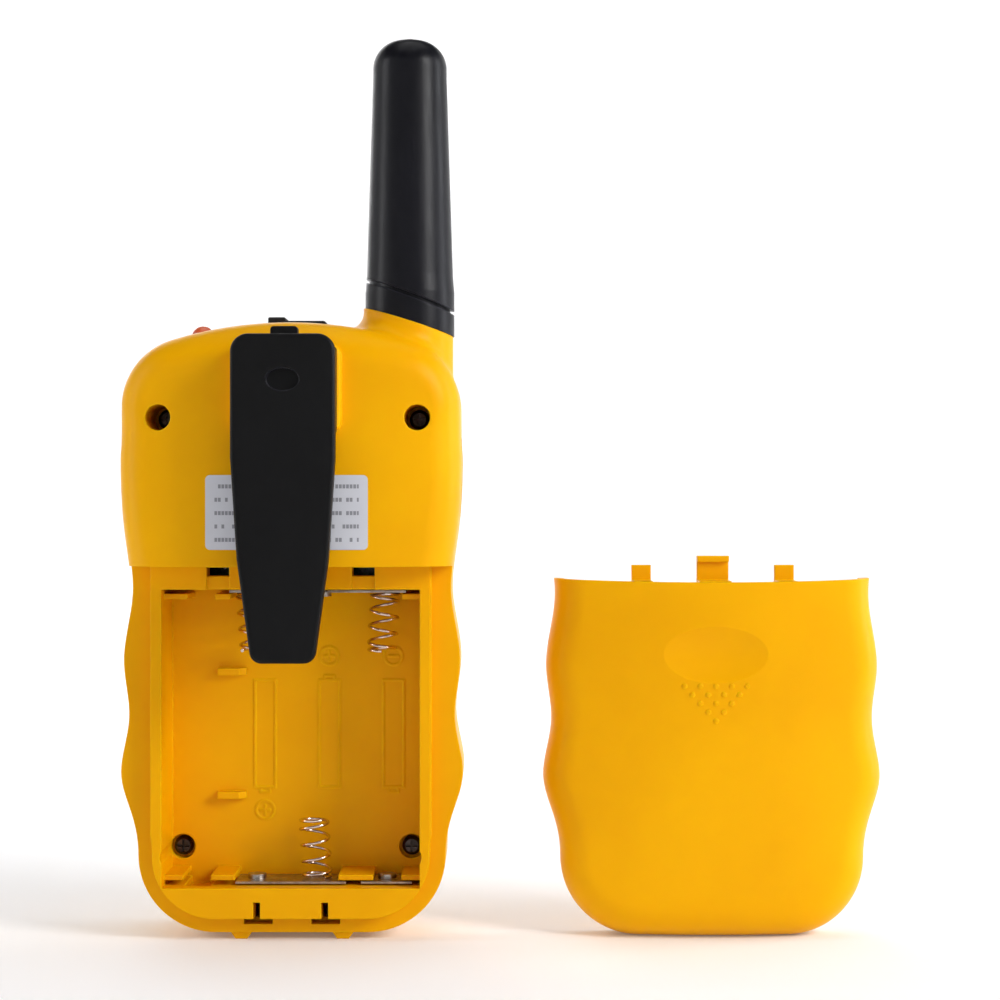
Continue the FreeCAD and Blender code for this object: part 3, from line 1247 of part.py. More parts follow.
def make_cover():
    zone = block("cover_zone", ("0 - far", "flank_y + cover_gap", "-5"),
                 ("far", "far", "cover_high"))
    dip = rod("cover_dip", "cover_dip_radius",
              ("0", "0", "cover_high - cover_dip + cover_dip_radius"), "far", "y")
    solid = feature("cover_form", crowned(0.0, size("front_round"), size("back_round")))
    hollow = feature("cover_hollow", crowned(size("cover_wall"), size("inner_front_round"),
                                              size("cover_round")))
    shell = cut("cover_shell", overlap("cover_solid", solid, zone), [hollow, dip])
    recess = feature("thumb_recess", thumb_bowl())
    body = join("cover_body", [cut("cover_dished", shell, [recess])] + cover_hooks()
                + cover_dots())
    cover = piece(body, "battery_cover")
    place(cover, ("stand_x", "stand_y", "stand_z"))


def thumb_bowl():
    """A shallow bowl with an oval rim where a thumb pushes the cover down."""
    deep, long_half, tall_half = size("thumb_deep"), size("thumb_long"), size("thumb_tall")
    radius = (long_half ** 2 + deep ** 2) / (2 * deep)
    ball = Part.makeSphere(radius, Vector(0, radius - deep, 0))
    cap = ball.common(Part.makeBox(4 * long_half, 2 * deep + 1, 4 * long_half,
                                   Vector(-2 * long_half, -deep - 0.5, -2 * long_half)))
    squeeze = FreeCAD.Matrix()
    squeeze.scale(1.0, 1.0, tall_half / long_half)
    bowl = cap.transformGeometry(squeeze)
    bowl.translate(Vector(0, size("back_depth"), size("thumb_z")))
    return bowl


# ---------------------------------------------------------------- build, check and write

def check_everything():
    """Stop if any object failed or any sub-part is empty or invalid."""
    doc.recompute()
    for item in doc.Objects:
        if "Invalid" in item.State or "Error" in item.State:
            raise RuntimeError("%s failed: %s" % (item.Name, item.State))
    for item in pieces:
        if item.Shape.isNull() or not item.Shape.isValid():
            raise RuntimeError("%s has no valid shape" % item.Label)


def write_pieces():
    os.makedirs("parts", exist_ok=True)
    for item in pieces:
        item.Shape.exportStep("parts/%s.step" % item.Label)
        print("%-24s %2d solid(s) %10.1f mm3" % (item.Label, len(item.Shape.Solids),
                                                item.Shape.Volume))


for maker in (make_rear_casing, make_front_casing, make_case_screws, make_rating_label,
              make_antenna, make_clip, make_jack, make_torch, make_board, make_display,
              make_keys, make_talk_key, make_speaker, make_microphone, make_contacts,
              make_cover):
    maker()
check_everything()
write_pieces()
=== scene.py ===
import json
import math

import bmesh
import bpy
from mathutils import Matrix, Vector


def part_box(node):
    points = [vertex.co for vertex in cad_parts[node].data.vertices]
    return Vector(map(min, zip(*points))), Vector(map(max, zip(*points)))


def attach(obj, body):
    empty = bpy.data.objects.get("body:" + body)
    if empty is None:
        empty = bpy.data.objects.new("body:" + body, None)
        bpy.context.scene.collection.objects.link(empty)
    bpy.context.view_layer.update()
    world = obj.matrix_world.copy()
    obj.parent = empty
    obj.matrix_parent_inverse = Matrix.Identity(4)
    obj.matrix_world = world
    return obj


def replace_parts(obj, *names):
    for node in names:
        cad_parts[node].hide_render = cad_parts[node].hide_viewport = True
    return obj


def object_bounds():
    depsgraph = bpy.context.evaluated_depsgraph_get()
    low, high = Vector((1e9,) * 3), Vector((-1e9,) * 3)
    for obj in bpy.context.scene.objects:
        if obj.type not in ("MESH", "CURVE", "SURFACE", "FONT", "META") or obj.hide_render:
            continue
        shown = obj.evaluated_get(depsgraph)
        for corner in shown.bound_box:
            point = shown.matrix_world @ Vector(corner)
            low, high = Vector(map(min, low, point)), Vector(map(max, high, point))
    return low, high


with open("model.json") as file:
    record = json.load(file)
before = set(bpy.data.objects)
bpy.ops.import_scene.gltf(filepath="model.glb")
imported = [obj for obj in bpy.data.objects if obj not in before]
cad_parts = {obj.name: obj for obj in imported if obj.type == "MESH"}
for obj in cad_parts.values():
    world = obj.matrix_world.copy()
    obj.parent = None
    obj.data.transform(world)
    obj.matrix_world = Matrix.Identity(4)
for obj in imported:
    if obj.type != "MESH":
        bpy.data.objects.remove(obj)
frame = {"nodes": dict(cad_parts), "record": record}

MM = 0.001
cad_low, cad_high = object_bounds()


# ---------------------------------------------------------------- node graphs

# The width of one band of the wave texture at scale 1, in metres.
BAND_AT_SCALE_ONE = 0.314
# How nearly the rounded normal agrees with the flat one, beside an edge and on it.
MATCH_BESIDE_EDGE = 0.995
MATCH_ON_EDGE = 0.86


class Look:
    """A procedural material: its shader, and short calls for the nodes that feed it."""

    def __init__(self, name):
        self.material = bpy.data.materials.new(name + "_look")
        self.material.use_nodes = True
        self.tree = self.material.node_tree
        self.tree.nodes.clear()
        self.shader = self.node("ShaderNodeBsdfPrincipled")
        output = self.node("ShaderNodeOutputMaterial")
        self.tree.links.new(self.shader.outputs[0], output.inputs["Surface"])
        self.place = self.node("ShaderNodeTexCoord").outputs["Object"]

    def node(self, kind, **settings):
        made = self.tree.nodes.new(kind)
        for key, value in settings.items():
            setattr(made, key, value)
        return made

    def feed(self, socket, value):
        """Links a socket to another node's output, or sets it to a plain value."""
        if isinstance(value, bpy.types.NodeSocket):
            self.tree.links.new(value, socket)
        elif isinstance(value, tuple) and len(value) == 3 and socket.type == "RGBA":
            socket.default_value = (*value, 1)
        else:
            socket.default_value = value

    def set(self, **values):
        """Sets the shader's own sockets: set(Base_Color=...) is its Base Color."""
        for key, value in values.items():
            self.feed(self.shader.inputs[key.replace("_", " ")], value)

    def maths(self, operation, first, second=0.0):
        made = self.node("ShaderNodeMath", operation=operation)
        self.feed(made.inputs[0], first)
        self.feed(made.inputs[1], second)
        return made.outputs[0]

    def spread(self, value, low, high, to_low=0.0, to_high=1.0):
        """Value's low..high carried onto to_low..to_high, and held there outside it."""
        made = self.node("ShaderNodeMapRange")
        for socket, given in zip(made.inputs, (value, low, high, to_low, to_high)):
            self.feed(socket, given)
        return made.outputs[0]

    def stretched(self, x, y, z):
        """The place on the object with its axes scaled, to draw a texture out along one."""
        made = self.node("ShaderNodeMapping")
        self.feed(made.inputs["Vector"], self.place)
        made.inputs["Scale"].default_value = (x, y, z)
        return made.outputs[0]

    def noise(self, size, detail=2.0, place=None):
        """Soft noise whose patches are about size across, in metres."""
        made = self.node("ShaderNodeTexNoise")
        self.feed(made.inputs["Vector"], place or self.place)
        self.feed(made.inputs["Scale"], 1 / size)
        self.feed(made.inputs["Detail"], detail)
        return made.outputs["Fac"]

    def cells(self, size, feature="F1"):
        """Cells about size across, in metres, as a distance in each cell."""
        made = self.node("ShaderNodeTexVoronoi", feature=feature)
        self.feed(made.inputs["Vector"], self.place)
        self.feed(made.inputs["Scale"], 1 / size)
        return made.outputs["Distance"]

    def waves(self, size, direction):
        """Bands that are size apart, in metres, along one axis."""
        made = self.node("ShaderNodeTexWave", bands_direction=direction)
        self.feed(made.inputs["Vector"], self.place)
        self.feed(made.inputs["Scale"], BAND_AT_SCALE_ONE / size)
        return made.outputs["Fac"]

    def between(self, share, first, second):
        """The first colour where share is 0, and the second where it is 1."""
        made = self.node("ShaderNodeMix", data_type="RGBA")
        self.feed(made.inputs["Factor"], share)
        self.feed(made.inputs[6], first)
        self.feed(made.inputs[7], second)
        return made.outputs[2]

    def bump(self, height, depth, normal=None):
        """Relief as deep as depth, in metres, where height goes from 0 to 1."""
        made = self.node("ShaderNodeBump")
        self.feed(made.inputs["Height"], height)
        self.feed(made.inputs["Distance"], depth)
        if normal:
            self.feed(made.inputs["Normal"], normal)
        return made.outputs["Normal"]

    def rounded(self, radius):
        """The normal of a surface whose sharp edges have this small radius."""
        made = self.node("ShaderNodeBevel", samples=4)
        made.inputs["Radius"].default_value = radius
        return made.outputs["Normal"]

    def edges(self, rounded_normal):
        """1 along sharp edges, where the rounded normal leaves the flat one, and 0 elsewhere."""
        flat = self.node("ShaderNodeNewGeometry").outputs["Normal"]
        made = self.node("ShaderNodeVectorMath", operation="DOT_PRODUCT")
        self.feed(made.inputs[0], rounded_normal)
        self.feed(made.inputs[1], flat)
        return self.spread(made.outputs["Value"], MATCH_BESIDE_EDGE, MATCH_ON_EDGE)

    def axis(self, name):
        """One coordinate of the place on the object, in metres."""
        made = self.node("ShaderNodeSeparateXYZ")
        self.feed(made.inputs[0], self.place)
        return made.outputs[name]

    def inside(self, value, low, high):
        """1 where value lies from low to high, and 0 outside."""
        above = self.maths("GREATER_THAN", value, low)
        below = self.maths("LESS_THAN", value, high)
        return self.maths("MULTIPLY", above, below)


# ---------------------------------------------------------------- plastics and rubbers

# In each entry, "edge" is the colour of a painted highlight along sharp edges.
PLASTICS = {
    "clip_plastic": {
        "colour": (0.0040, 0.0040, 0.0044), "deep": (0.0030, 0.0030, 0.0033),
        "edge": (0.030, 0.030, 0.038), "rough": 0.40, "specular": 0.15,
        "grain": 0.3 * MM, "grain_depth": 0.008 * MM,
    },
    "antenna_plastic": {
        "colour": (0.0050, 0.0050, 0.0078), "deep": (0.0036, 0.0036, 0.0056),
        "edge": (0.030, 0.030, 0.043), "rough": 0.34, "specular": 0.17,
        "grain": 0.35 * MM, "grain_depth": 0.008 * MM,
    },
    "black_plastic": {
        "colour": (0.010, 0.010, 0.011), "deep": (0.007, 0.007, 0.008),
        "edge": (0.03, 0.03, 0.03), "rough": 0.5, "specular": 0.3,
        "grain": 0.4 * MM, "grain_depth": 0.012 * MM,
    },
    "trim_plastic": {
        "colour": (0.008, 0.008, 0.010), "deep": (0.006, 0.006, 0.008),
        "edge": (0.04, 0.04, 0.045), "rough": 0.16, "specular": 0.5,
        "grain": 0.6 * MM, "grain_depth": 0.001 * MM,
    },
    "grey_rubber": {
        "colour": (0.20, 0.20, 0.205), "deep": (0.16, 0.16, 0.165),
        "edge": (0.26, 0.26, 0.26), "rough": 0.66, "specular": 0.25,
        "grain": 0.2 * MM, "grain_depth": 0.02 * MM,
    },
    "black_rubber": {
        "colour": (0.012, 0.012, 0.012), "deep": (0.008, 0.008, 0.008),
        "edge": (0.03, 0.03, 0.03), "rough": 0.7, "specular": 0.25,
        "grain": 0.2 * MM, "grain_depth": 0.02 * MM,
    },
}


def moulded(name, colour, deep, edge, rough, specular, grain, grain_depth):
    """A moulded plastic: drifting colour, a fine grain, slow sink marks, and a painted highlight
    in broken patches along its sharp edges.
    """
    edge_radius = 0.35 * MM
    drift_size = 26 * MM
    highlight_patch_size = 3 * MM
    streak_size = 1.2 * MM
    sink_size = 17 * MM
    sink_depth = 0.05 * MM
    look = Look(name)
    normal = look.rounded(edge_radius)
    drift = look.spread(look.noise(drift_size, 3), 0.35, 0.65)
    body = look.between(drift, deep, colour)
    # Painted highlight: the edge colour is laid along sharp edges and broken into patches.
    edge_line = look.edges(normal)
    patchy = look.spread(look.noise(highlight_patch_size), 0.3, 0.6, 0.55, 1)
    painted_edge_highlight = look.maths("MULTIPLY", edge_line, patchy)
    look.set(Base_Color=look.between(painted_edge_highlight, body, edge))
    streaks = look.noise(streak_size, 4, look.stretched(1, 1, 0.2))
    look.set(Roughness=look.spread(streaks, 0.3, 0.7, rough - 0.05, rough + 0.06))
    sink = look.bump(look.noise(sink_size, 1), sink_depth, normal)
    look.set(Normal=look.bump(look.noise(grain, 2), grain_depth, sink))
    look.set(IOR=1.5, Specular_IOR_Level=specular)
    return look


def yellow_plastic():
    """The casing's yellow, which light goes a little way into."""
    # The edge colour is a painted highlight along the sharp edges.
    look = moulded(
        "yellow_plastic", colour=(0.88, 0.43, 0.0), deep=(0.83, 0.385, 0.0),
        edge=(1.0, 0.60, 0.002), rough=0.36, specular=0.07,
        grain=0.25 * MM, grain_depth=0.006 * MM)
    look.set(Subsurface_Weight=0.12, Subsurface_Scale=1.5 * MM)
    look.shader.inputs["Subsurface Radius"].default_value = (1.0, 0.3, 0.05)
    return look


def key_plastic():
    """Charcoal keys, with a plain light mark printed on the face of each front key."""
    tip_up = 0.8 * MM
    base_down = 0.75 * MM
    widening = 0.95
    below_zero = -1.0
    print_reach = 0.05 * MM
    print_colour = (0.55, 0.56, 0.58)
    # The edge colour is a painted highlight along the sharp edges.
    look = moulded(
        "key_plastic", colour=(0.030, 0.031, 0.035), deep=(0.022, 0.023, 0.026),
        edge=(0.09, 0.09, 0.095), rough=0.46, specular=0.35,
        grain=0.3 * MM, grain_depth=0.01 * MM)
    x, y, z = look.axis("X"), look.axis("Y"), look.axis("Z")

    def from_middle(node):
        """How far across and up a point lies from the middle of this key."""
        low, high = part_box(node)
        middle = (low + high) / 2
        return (look.maths("SUBTRACT", x, middle.x), look.maths("SUBTRACT", z, middle.z))

    def triangle(node, way):
        """A triangle on this key that points up where way is 1, and down where it is -1."""
        across, up = from_middle(node)
        up = look.maths("MULTIPLY", up, way)
        slope = look.maths("MULTIPLY", look.maths("SUBTRACT", tip_up, up), widening)
        within = look.maths("LESS_THAN", look.maths("ABSOLUTE", across), slope)
        return look.maths("MULTIPLY", within, look.maths("GREATER_THAN", up, -base_down))

    def ring(node, outer, inner):
        across, up = from_middle(node)
        across_squared = look.maths("MULTIPLY", across, across)
        up_squared = look.maths("MULTIPLY", up, up)
        reach = look.maths("SQRT", look.maths("ADD", across_squared, up_squared))
        return look.inside(reach, inner, outer)

    def disc(node, radius):
        """A ring whose inner radius is below zero, so that it has no hole."""
        return ring(node, radius, below_zero)

    marks = [
        triangle("key_up", 1.0),
        triangle("key_down", -1.0),
        ring("key_menu", outer=1.3 * MM, inner=0.95 * MM),
        disc("key_call", radius=0.6 * MM),
        ring("key_call", outer=1.45 * MM, inner=1.15 * MM),
        disc("key_torch", radius=0.9 * MM),
    ]
    print_on = marks[0]
    for mark in marks[1:]:
        print_on = look.maths("MAXIMUM", print_on, mark)
    face = look.maths("LESS_THAN", y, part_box("key_menu")[0].y + print_reach)
    plain = look.shader.inputs["Base Color"].links[0].from_socket
    printed = look.maths("MULTIPLY", print_on, face)
    look.set(Base_Color=look.between(printed, plain, print_colour))
    return look


# ---------------------------------------------------------------- metals

DRAWN_ALONG_X = (0.05, 1, 1)
DRAWN_ALONG_Z = (1, 1, 0.05)
TURNED_ROUND_Z = (1, 1, 6)
NOT_DRAWN = (1, 1, 1)

METALS = {
    "dark_steel": {
        "colour": (0.07, 0.058, 0.052), "dull": (0.035, 0.028, 0.024),
        "rough": 0.36, "line": DRAWN_ALONG_Z,
    },
    "spring_wire": {
        "colour": (0.78, 0.67, 0.60), "dull": (0.45, 0.34, 0.28),
        "rough": 0.14, "line": NOT_DRAWN,
    },
    "tinned_steel": {
        "colour": (0.66, 0.65, 0.63), "dull": (0.45, 0.43, 0.40),
        "rough": 0.28, "line": DRAWN_ALONG_X,
    },
    "nickel": {
        "colour": (0.46, 0.42, 0.38), "dull": (0.28, 0.24, 0.21),
        "rough": 0.30, "line": DRAWN_ALONG_X,
    },
    "brass": {
        "colour": (0.72, 0.50, 0.20), "dull": (0.45, 0.29, 0.10),
        "rough": 0.25, "line": TURNED_ROUND_Z,
    },
}


def metal(name, colour, dull, rough, line):
    """A plated or bare metal with drawn lines, dull patches and a painted highlight along its
    edges.
    """
    edge_radius = 0.08 * MM
    patch_size = 1.6 * MM
    line_size = 0.12 * MM
    line_depth = 0.002 * MM
    unevenness = 0.12
    look = Look(name)
    normal = look.rounded(edge_radius)
    patches = look.spread(look.noise(patch_size, 4), 0.4, 0.68)
    lines = look.noise(line_size, 3, look.stretched(*line))
    body = look.between(patches, colour, dull)
    # Painted highlight: a brighter copy of the colour is laid along sharp edges.
    edge_highlight_colour = tuple(min(1.0, part * 1.25) for part in colour)
    look.set(Base_Color=look.between(look.edges(normal), body, edge_highlight_colour), Metallic=1.0)
    uneven_lines = look.maths("MULTIPLY", lines, unevenness)
    uneven_patches = look.maths("MULTIPLY", patches, unevenness)
    uneven = look.maths("ADD", uneven_lines, uneven_patches)
    look.set(Roughness=look.maths("ADD", uneven, rough - 0.08))
    look.set(Normal=look.bump(lines, line_depth, normal))
    return look


# ---------------------------------------------------------------- other materials

def label():
    """A silver film label with rows of plain fine blocks where print would be."""
    rows = 5
    rows_of_margin = 0.6
    rows_above = 0.4
    block_wide = 0.6 * MM
    side_margin = 1.5 * MM
    blank_share = 0.22
    row_seed_step = 31.7
    look = Look("label")
    low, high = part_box("rating_label")
    x, z = look.axis("X"), look.axis("Z")
    row_tall = (high.z - low.z) / (rows + rows_of_margin)
    down = look.maths("SUBTRACT", high.z - rows_above * row_tall, z)
    from_top = look.maths("DIVIDE", down, row_tall)
    row = look.maths("FLOOR", from_top)
    in_row = look.inside(look.maths("FRACT", from_top), 0.30, 0.60)
    # One metre is added so that every column's number is above zero.
    column = look.maths("DIVIDE", look.maths("ADD", x, 1.0), block_wide)
    row_seed = look.maths("MULTIPLY", row, row_seed_step)
    seed = look.maths("ADD", look.maths("FLOOR", column), row_seed)
    chance = look.node("ShaderNodeTexWhiteNoise", noise_dimensions="1D")
    look.feed(chance.inputs["W"], seed)
    ink = look.maths("GREATER_THAN", chance.outputs["Value"], blank_share)
    in_block = look.inside(look.maths("FRACT", column), 0.08, 0.86)
    in_width = look.inside(x, low.x + side_margin, high.x - side_margin)
    for part in (in_row, in_block, in_width):
        ink = look.maths("MULTIPLY", ink, part)
    film = look.between(look.noise(6 * MM, 3), (0.58, 0.58, 0.63), (0.68, 0.69, 0.74))
    look.set(Base_Color=look.between(ink, film, (0.26, 0.26, 0.29)), Metallic=0.25)
    look.set(Roughness=look.spread(look.noise(0.9 * MM, 3), 0.3, 0.7, 0.30, 0.42))
    look.set(Normal=look.bump(look.noise(2.5 * MM, 2), 0.012 * MM))
    return look


def circuit_board():
    """Green solder mask over copper tracks, with tinned pads."""
    track_spacing = 3.4 * MM
    pad_spacing = 2.1 * MM
    relief = 0.03 * MM
    look = Look("circuit_board")
    tracks = look.cells(track_spacing, "DISTANCE_TO_EDGE")
    track = look.spread(tracks, 0.06, 0.09, 1, 0)
    pads = look.spread(look.cells(pad_spacing), 0.16, 0.19, 1, 0)
    mask = look.between(track, (0.008, 0.085, 0.025), (0.02, 0.15, 0.05))
    look.set(Base_Color=look.between(pads, mask, (0.62, 0.60, 0.56)), Metallic=pads)
    look.set(Roughness=look.spread(look.noise(0.8 * MM), 0.3, 0.7, 0.22, 0.34))
    look.set(Normal=look.bump(look.maths("MAXIMUM", track, pads), relief), Coat_Weight=0.3)
    return look


def display_grey():
    """A liquid crystal panel: grey-green, with a rising row of bars and a battery outline."""
    bar_step = 2.0 * MM
    bar_rise = 1.1 * MM
    bars_below_middle = 3 * MM
    bars_from_left = 4 * MM
    last_bar = 4
    battery_from_right = 4 * MM
    battery_long = 6 * MM
    battery_half = 1.5 * MM
    battery_wall = 0.4 * MM
    empty_long = 3 * MM
    look = Look("display_grey")
    low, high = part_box("display_panel")
    x, z = look.axis("X"), look.axis("Z")
    middle = (low.z + high.z) / 2
    bars_foot = middle - bars_below_middle
    along = look.maths("DIVIDE", look.maths("SUBTRACT", x, low.x + bars_from_left), bar_step)
    count = look.maths("FLOOR", along)
    tall = look.maths("MULTIPLY", look.maths("ADD", count, 1.0), bar_rise)
    top = look.maths("ADD", tall, bars_foot)
    numbered = look.inside(count, -0.5, last_bar + 0.5)
    in_bar = look.inside(look.maths("FRACT", along), 0.2, 0.8)
    bar = look.maths("MULTIPLY", numbered, in_bar)
    bar = look.maths("MULTIPLY", bar, look.maths("LESS_THAN", z, top))
    bar = look.maths("MULTIPLY", bar, look.maths("GREATER_THAN", z, bars_foot))
    right = high.x - battery_from_right
    cell = look.maths("MULTIPLY", look.inside(x, right - battery_long, right),
                      look.inside(z, middle - battery_half, middle + battery_half))
    inner_half = battery_half - battery_wall
    hollow = look.maths("MULTIPLY", look.inside(x, right - empty_long, right - battery_wall),
                        look.inside(z, middle - inner_half, middle + inner_half))
    dark = look.maths("MAXIMUM", bar, look.maths("SUBTRACT", cell, hollow))
    glow = look.between(look.noise(9 * MM, 2), (0.26, 0.30, 0.21), (0.31, 0.35, 0.25))
    look.set(Base_Color=look.between(dark, glow, (0.03, 0.035, 0.03)))
    look.set(Roughness=look.spread(look.noise(0.5 * MM), 0.3, 0.7, 0.3, 0.4))
    look.set(Normal=look.bump(look.noise(0.3 * MM), 0.003 * MM))
    return look


def window():
    """Clear moulded plastic with faint hairline marks."""
    look = Look("window")
    hairs = look.noise(0.25 * MM, 4, look.stretched(0.06, 1, 1))
    tint = look.between(look.noise(12 * MM), (0.90, 0.93, 0.95), (0.95, 0.97, 0.98))
    look.set(Base_Color=tint, Transmission_Weight=1.0, IOR=1.49)
    look.set(Roughness=look.spread(hairs, 0.45, 0.75, 0.02, 0.14))
    look.set(Normal=look.bump(hairs, 0.001 * MM, look.rounded(0.3 * MM)))
    return look


def amber_lens():
    """Orange-red translucent plastic over the lamp."""
    look = Look("amber_lens")
    cloudy = look.noise(1.5 * MM, 3)
    look.set(Base_Color=look.between(cloudy, (0.90, 0.12, 0.03), (1.0, 0.24, 0.07)))
    look.set(Transmission_Weight=0.45, IOR=1.49, Coat_Weight=0.5, Coat_Roughness=0.06)
    look.set(Roughness=look.spread(cloudy, 0.3, 0.7, 0.10, 0.22))
    look.set(Normal=look.bump(look.noise(0.6 * MM), 0.004 * MM, look.rounded(0.2 * MM)))
    return look


def cloth():
    """Black speaker gauze: threads that cross, and a soft sheen."""
    thread_spacing = 0.45 * MM
    look = Look("cloth")
    across, up = look.waves(thread_spacing, "X"), look.waves(thread_spacing, "Z")
    weave = look.maths("MULTIPLY", across, up)
    look.set(Base_Color=look.between(weave, (0.006, 0.006, 0.006), (0.035, 0.035, 0.037)))
    look.set(Roughness=look.spread(weave, 0, 1, 0.95, 0.7))
    look.set(Sheen_Weight=0.3, Sheen_Roughness=0.4)
    look.set(Normal=look.bump(weave, 0.08 * MM))
    return look


OTHER_LOOKS = {
    "yellow_plastic": yellow_plastic, "key_plastic": key_plastic, "label": label,
    "circuit_board": circuit_board, "display_grey": display_grey, "window": window,
    "amber_lens": amber_lens, "cloth": cloth,
}

looks = {}
for slot_name, values in PLASTICS.items():
    looks[slot_name] = moulded(slot_name, **values).material
for slot_name, values in METALS.items():
    looks[slot_name] = metal(slot_name, **values).material
for slot_name, maker in OTHER_LOOKS.items():
    looks[slot_name] = maker().material


def dress(item, look):
    """Gives every material slot of an object this look."""
    if not item.material_slots:
        item.data.materials.append(look)
    for slot in item.material_slots:
        slot.material = look


for part in frame["record"]["subparts"]:
    dress(frame["nodes"][part["node"]], looks[part["material_slot"]])


# ---------------------------------------------------------------- battery springs

WIRE_RADIUS = 0.28 * MM
CLOSED_PITCH = 2.15 * WIRE_RADIUS
OPEN_TURNS = 3.0
CLOSED_TURNS = 2
POINTS_A_TURN = 28
SPRING_RADIUS = 2.45 * MM
SPRING_LONG = 10.0 * MM


def spring_line(axis, root, tip, lean, start_angle):
    """Points of a compression spring: a closed turn at each end and open turns between.

    The open pitch is only a first guess: the last line brings the spring to its length."""
    end_draw_in = 0.06
    easing_turns = 0.6
    open_excess = 1.12
    turns = OPEN_TURNS + CLOSED_TURNS
    long = abs(tip - root)
    open_pitch = (long - CLOSED_TURNS * CLOSED_PITCH) / OPEN_TURNS
    way = 1 if tip > root else -1
    points = []
    rise = 0.0
    count = int(turns * POINTS_A_TURN)
    for number in range(count + 1):
        turn = number / POINTS_A_TURN
        angle = start_angle + 2 * math.pi * turn
        tight = max(0.0, 1.0 - turn) + max(0.0, turn - turns + 1.0)
        reach = SPRING_RADIUS * (1 - end_draw_in * tight)
        shift = lean * rise / long
        x = axis.x + shift + reach * math.cos(angle)
        y = axis.y + reach * math.sin(angle)
        points.append(Vector((x, y, root + way * rise)))
        from_end = min(turn, turns - turn)
        ease = min(1.0, max(0.0, from_end - easing_turns) / easing_turns)
        pitch = CLOSED_PITCH + (open_pitch * open_excess - CLOSED_PITCH) * ease
        rise += pitch / POINTS_A_TURN
    return [Vector((p.x, p.y, root + (p.z - root) * long / rise)) for p in points]


def wire_curve(name, lines):
    """One curve object with a round wire along each line of points."""
    curve = bpy.data.curves.new(name, "CURVE")
    curve.dimensions = "3D"
    curve.bevel_depth = WIRE_RADIUS
    curve.bevel_resolution = 4
    curve.use_fill_caps = True
    for line in lines:
        spline = curve.splines.new("POLY")
        spline.points.add(len(line) - 1)
        for point, spot in zip(spline.points, line):
            point.co = (*spot, 1)
        spline.use_smooth = True
    item = bpy.data.objects.new(name, curve)
    bpy.context.scene.collection.objects.link(item)
    item.data.materials.append(looks["spring_wire"])
    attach(item, "radio")
    return item


def battery_springs():
    """Springs wound as real ones are, in the places that the plain CAD helices hold."""
    low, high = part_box("battery_springs_upper")
    lower_low, lower_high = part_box("battery_spring_lower")
    helix_half = (high.y - low.y) / 2
    axis_y = (high.y + low.y) / 2
    # Left and right are as seen from the back.
    left_axis = Vector((high.x - helix_half, axis_y, 0))
    right_axis = Vector((low.x + helix_half, axis_y, 0))
    root = high.z - WIRE_RADIUS
    tip = root - SPRING_LONG
    pair = [spring_line(left_axis, root, tip, lean=-0.6 * MM, start_angle=0.4),
            spring_line(right_axis, root, tip, lean=0.5 * MM, start_angle=1.6)]
    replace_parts(wire_curve("springs_upper_wound", pair), "battery_springs_upper")
    middle = (lower_low + lower_high) / 2
    root = lower_low.z + WIRE_RADIUS
    tip = root + SPRING_LONG
    single = [spring_line(middle, root, tip, lean=0.5 * MM, start_angle=2.2)]
    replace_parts(wire_curve("spring_lower_wound", single), "battery_spring_lower")


battery_springs()


# ---------------------------------------------------------------- studio

def studio_bowl():
    """A pale floor that sweeps up all round into a wall."""
    flat = 0.55
    sweep = 0.45
    wall_top = 0.75
    sweep_steps = 16
    turn_steps = 96
    below_feet = 0.02 * MM
    profile = [(0.0, 0.0), (0.2, 0.0), (0.4, 0.0), (flat, 0.0)]
    for step in range(1, sweep_steps + 1):
        angle = math.radians(90 * step / sweep_steps)
        profile.append((flat + sweep * math.sin(angle), sweep * (1 - math.cos(angle))))
    profile.append((flat + sweep, wall_top))
    mesh = bmesh.new()
    centre = Vector(((cad_low.x + cad_high.x) / 2, 0, cad_low.z - below_feet))
    spots = [mesh.verts.new(centre + Vector((radius, 0, height))) for radius, height in profile]
    wall = [mesh.edges.new(pair) for pair in zip(spots, spots[1:])]
    bmesh.ops.spin(mesh, geom=spots + wall, cent=centre, axis=(0, 0, 1),
                   angle=2 * math.pi, steps=turn_steps)
    bmesh.ops.remove_doubles(mesh, verts=mesh.verts, dist=1e-5)
    bmesh.ops.recalc_face_normals(mesh, faces=mesh.faces)
    data = bpy.data.meshes.new("studio_floor")
    mesh.to_mesh(data)
    mesh.free()
    for face in data.polygons:
        face.use_smooth = True
    floor = bpy.data.objects.new("studio_floor", data)
    bpy.context.scene.collection.objects.link(floor)
    look = Look("studio_floor")
    look.set(Base_Color=look.between(look.noise(0.2, 2), (0.90, 0.90, 0.905), (0.92, 0.92, 0.925)))
    look.set(Roughness=0.9, Specular_IOR_Level=0.1)
    look.set(Emission_Color=(1.0, 1.0, 1.0), Emission_Strength=0.08)
    floor.data.materials.append(look.material)


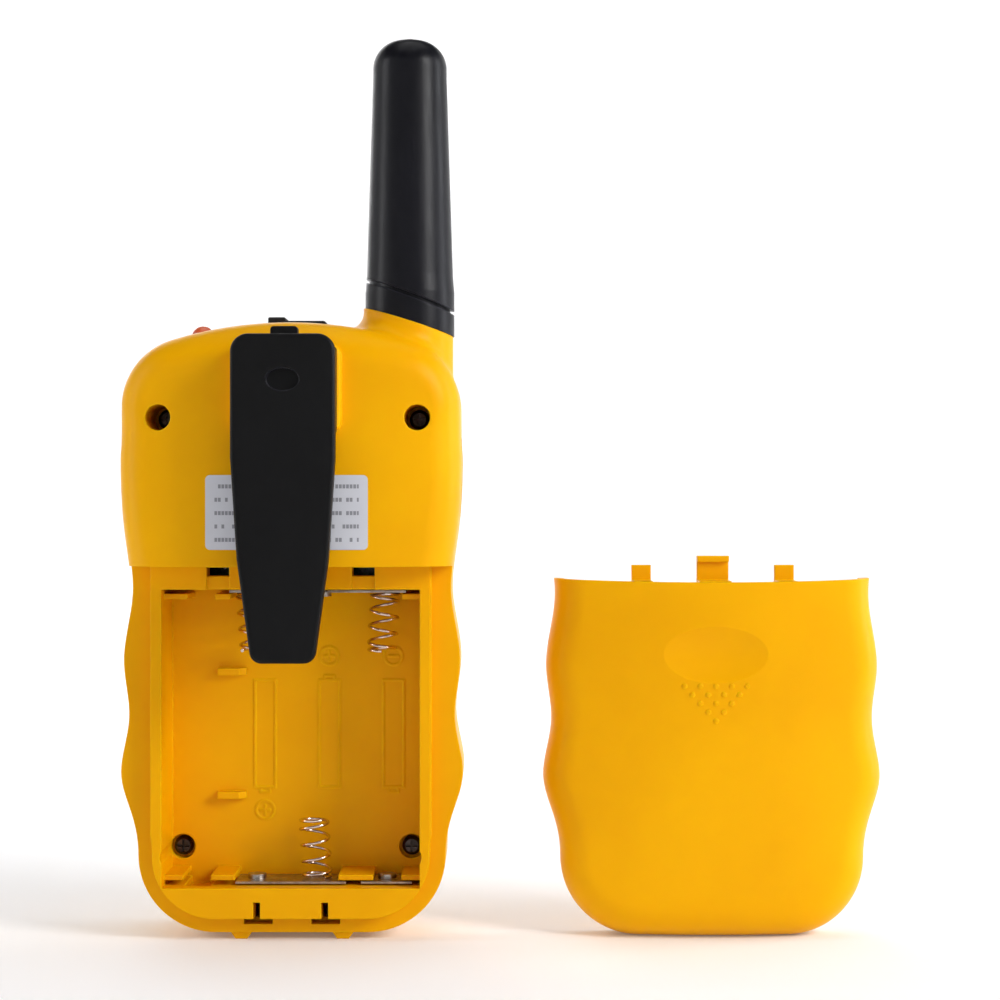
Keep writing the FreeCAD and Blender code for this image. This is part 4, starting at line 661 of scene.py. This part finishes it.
def soft_light(name, spot, target, wide, tall, watts, colour=(1, 1, 1)):
    """A soft rectangle of light at spot, turned to target and unseen by the camera."""
    light = bpy.data.lights.new(name, "AREA")
    light.shape = "RECTANGLE"
    light.size, light.size_y = wide, tall
    light.energy = watts
    light.color = colour
    item = bpy.data.objects.new(name, light)
    item.location = spot
    item.rotation_euler = (target - spot).to_track_quat("-Z", "Y").to_euler()
    item.visible_camera = False
    bpy.context.scene.collection.objects.link(item)


def studio_lights():
    """A small key light high at one side, weak fills all round, and a light on the wall."""
    middle = (cad_low + cad_high) / 2
    behind = Vector((-0.03, -0.9, 0.12))
    soft_light("key", Vector((-0.50, 0.30, 0.34)), middle,
               wide=0.20, tall=0.30, watts=2.72)
    soft_light("side_fill", Vector((0.50, 0.08, 0.18)), middle,
               wide=0.14, tall=0.45, watts=0.95, colour=(0.97, 0.98, 1.0))
    soft_light("side_rim", Vector((-0.52, -0.10, 0.18)), middle,
               wide=0.14, tall=0.45, watts=0.9, colour=(0.93, 0.95, 1.0))
    soft_light("top", Vector((-0.03, 0.0, 0.62)), middle,
               wide=0.5, tall=0.4, watts=0.7)
    soft_light("front_fill", Vector((0.22, -0.60, 0.36)), middle,
               wide=0.4, tall=0.4, watts=0.8)
    soft_light("backdrop", Vector((-0.03, -0.28, 0.55)), behind,
               wide=0.9, tall=0.25, watts=3.3)


def studio_air():
    """A faint even light from everywhere, and plain colours in the render."""
    world = bpy.data.worlds.new("studio_air")
    world.use_nodes = True
    air = world.node_tree.nodes["Background"]
    air.inputs["Color"].default_value = (1, 1, 1, 1)
    air.inputs["Strength"].default_value = 0.04
    bpy.context.scene.world = world
    bpy.context.scene.view_settings.view_transform = "Standard"


def camera():
    """Level, square to the back of the radio, and midway between it and the cover."""
    data = bpy.data.cameras.new("camera")
    data.lens = 78
    data.sensor_width = 36
    data.clip_start = 0.01
    item = bpy.data.objects.new("camera", data)
    item.location = Vector((-36.0, 380.0, 76.0)) * MM
    item.rotation_euler = (math.radians(90), 0, math.radians(180))
    bpy.context.scene.collection.objects.link(item)
    bpy.context.scene.camera = item


studio_bowl()
studio_lights()
studio_air()
camera()
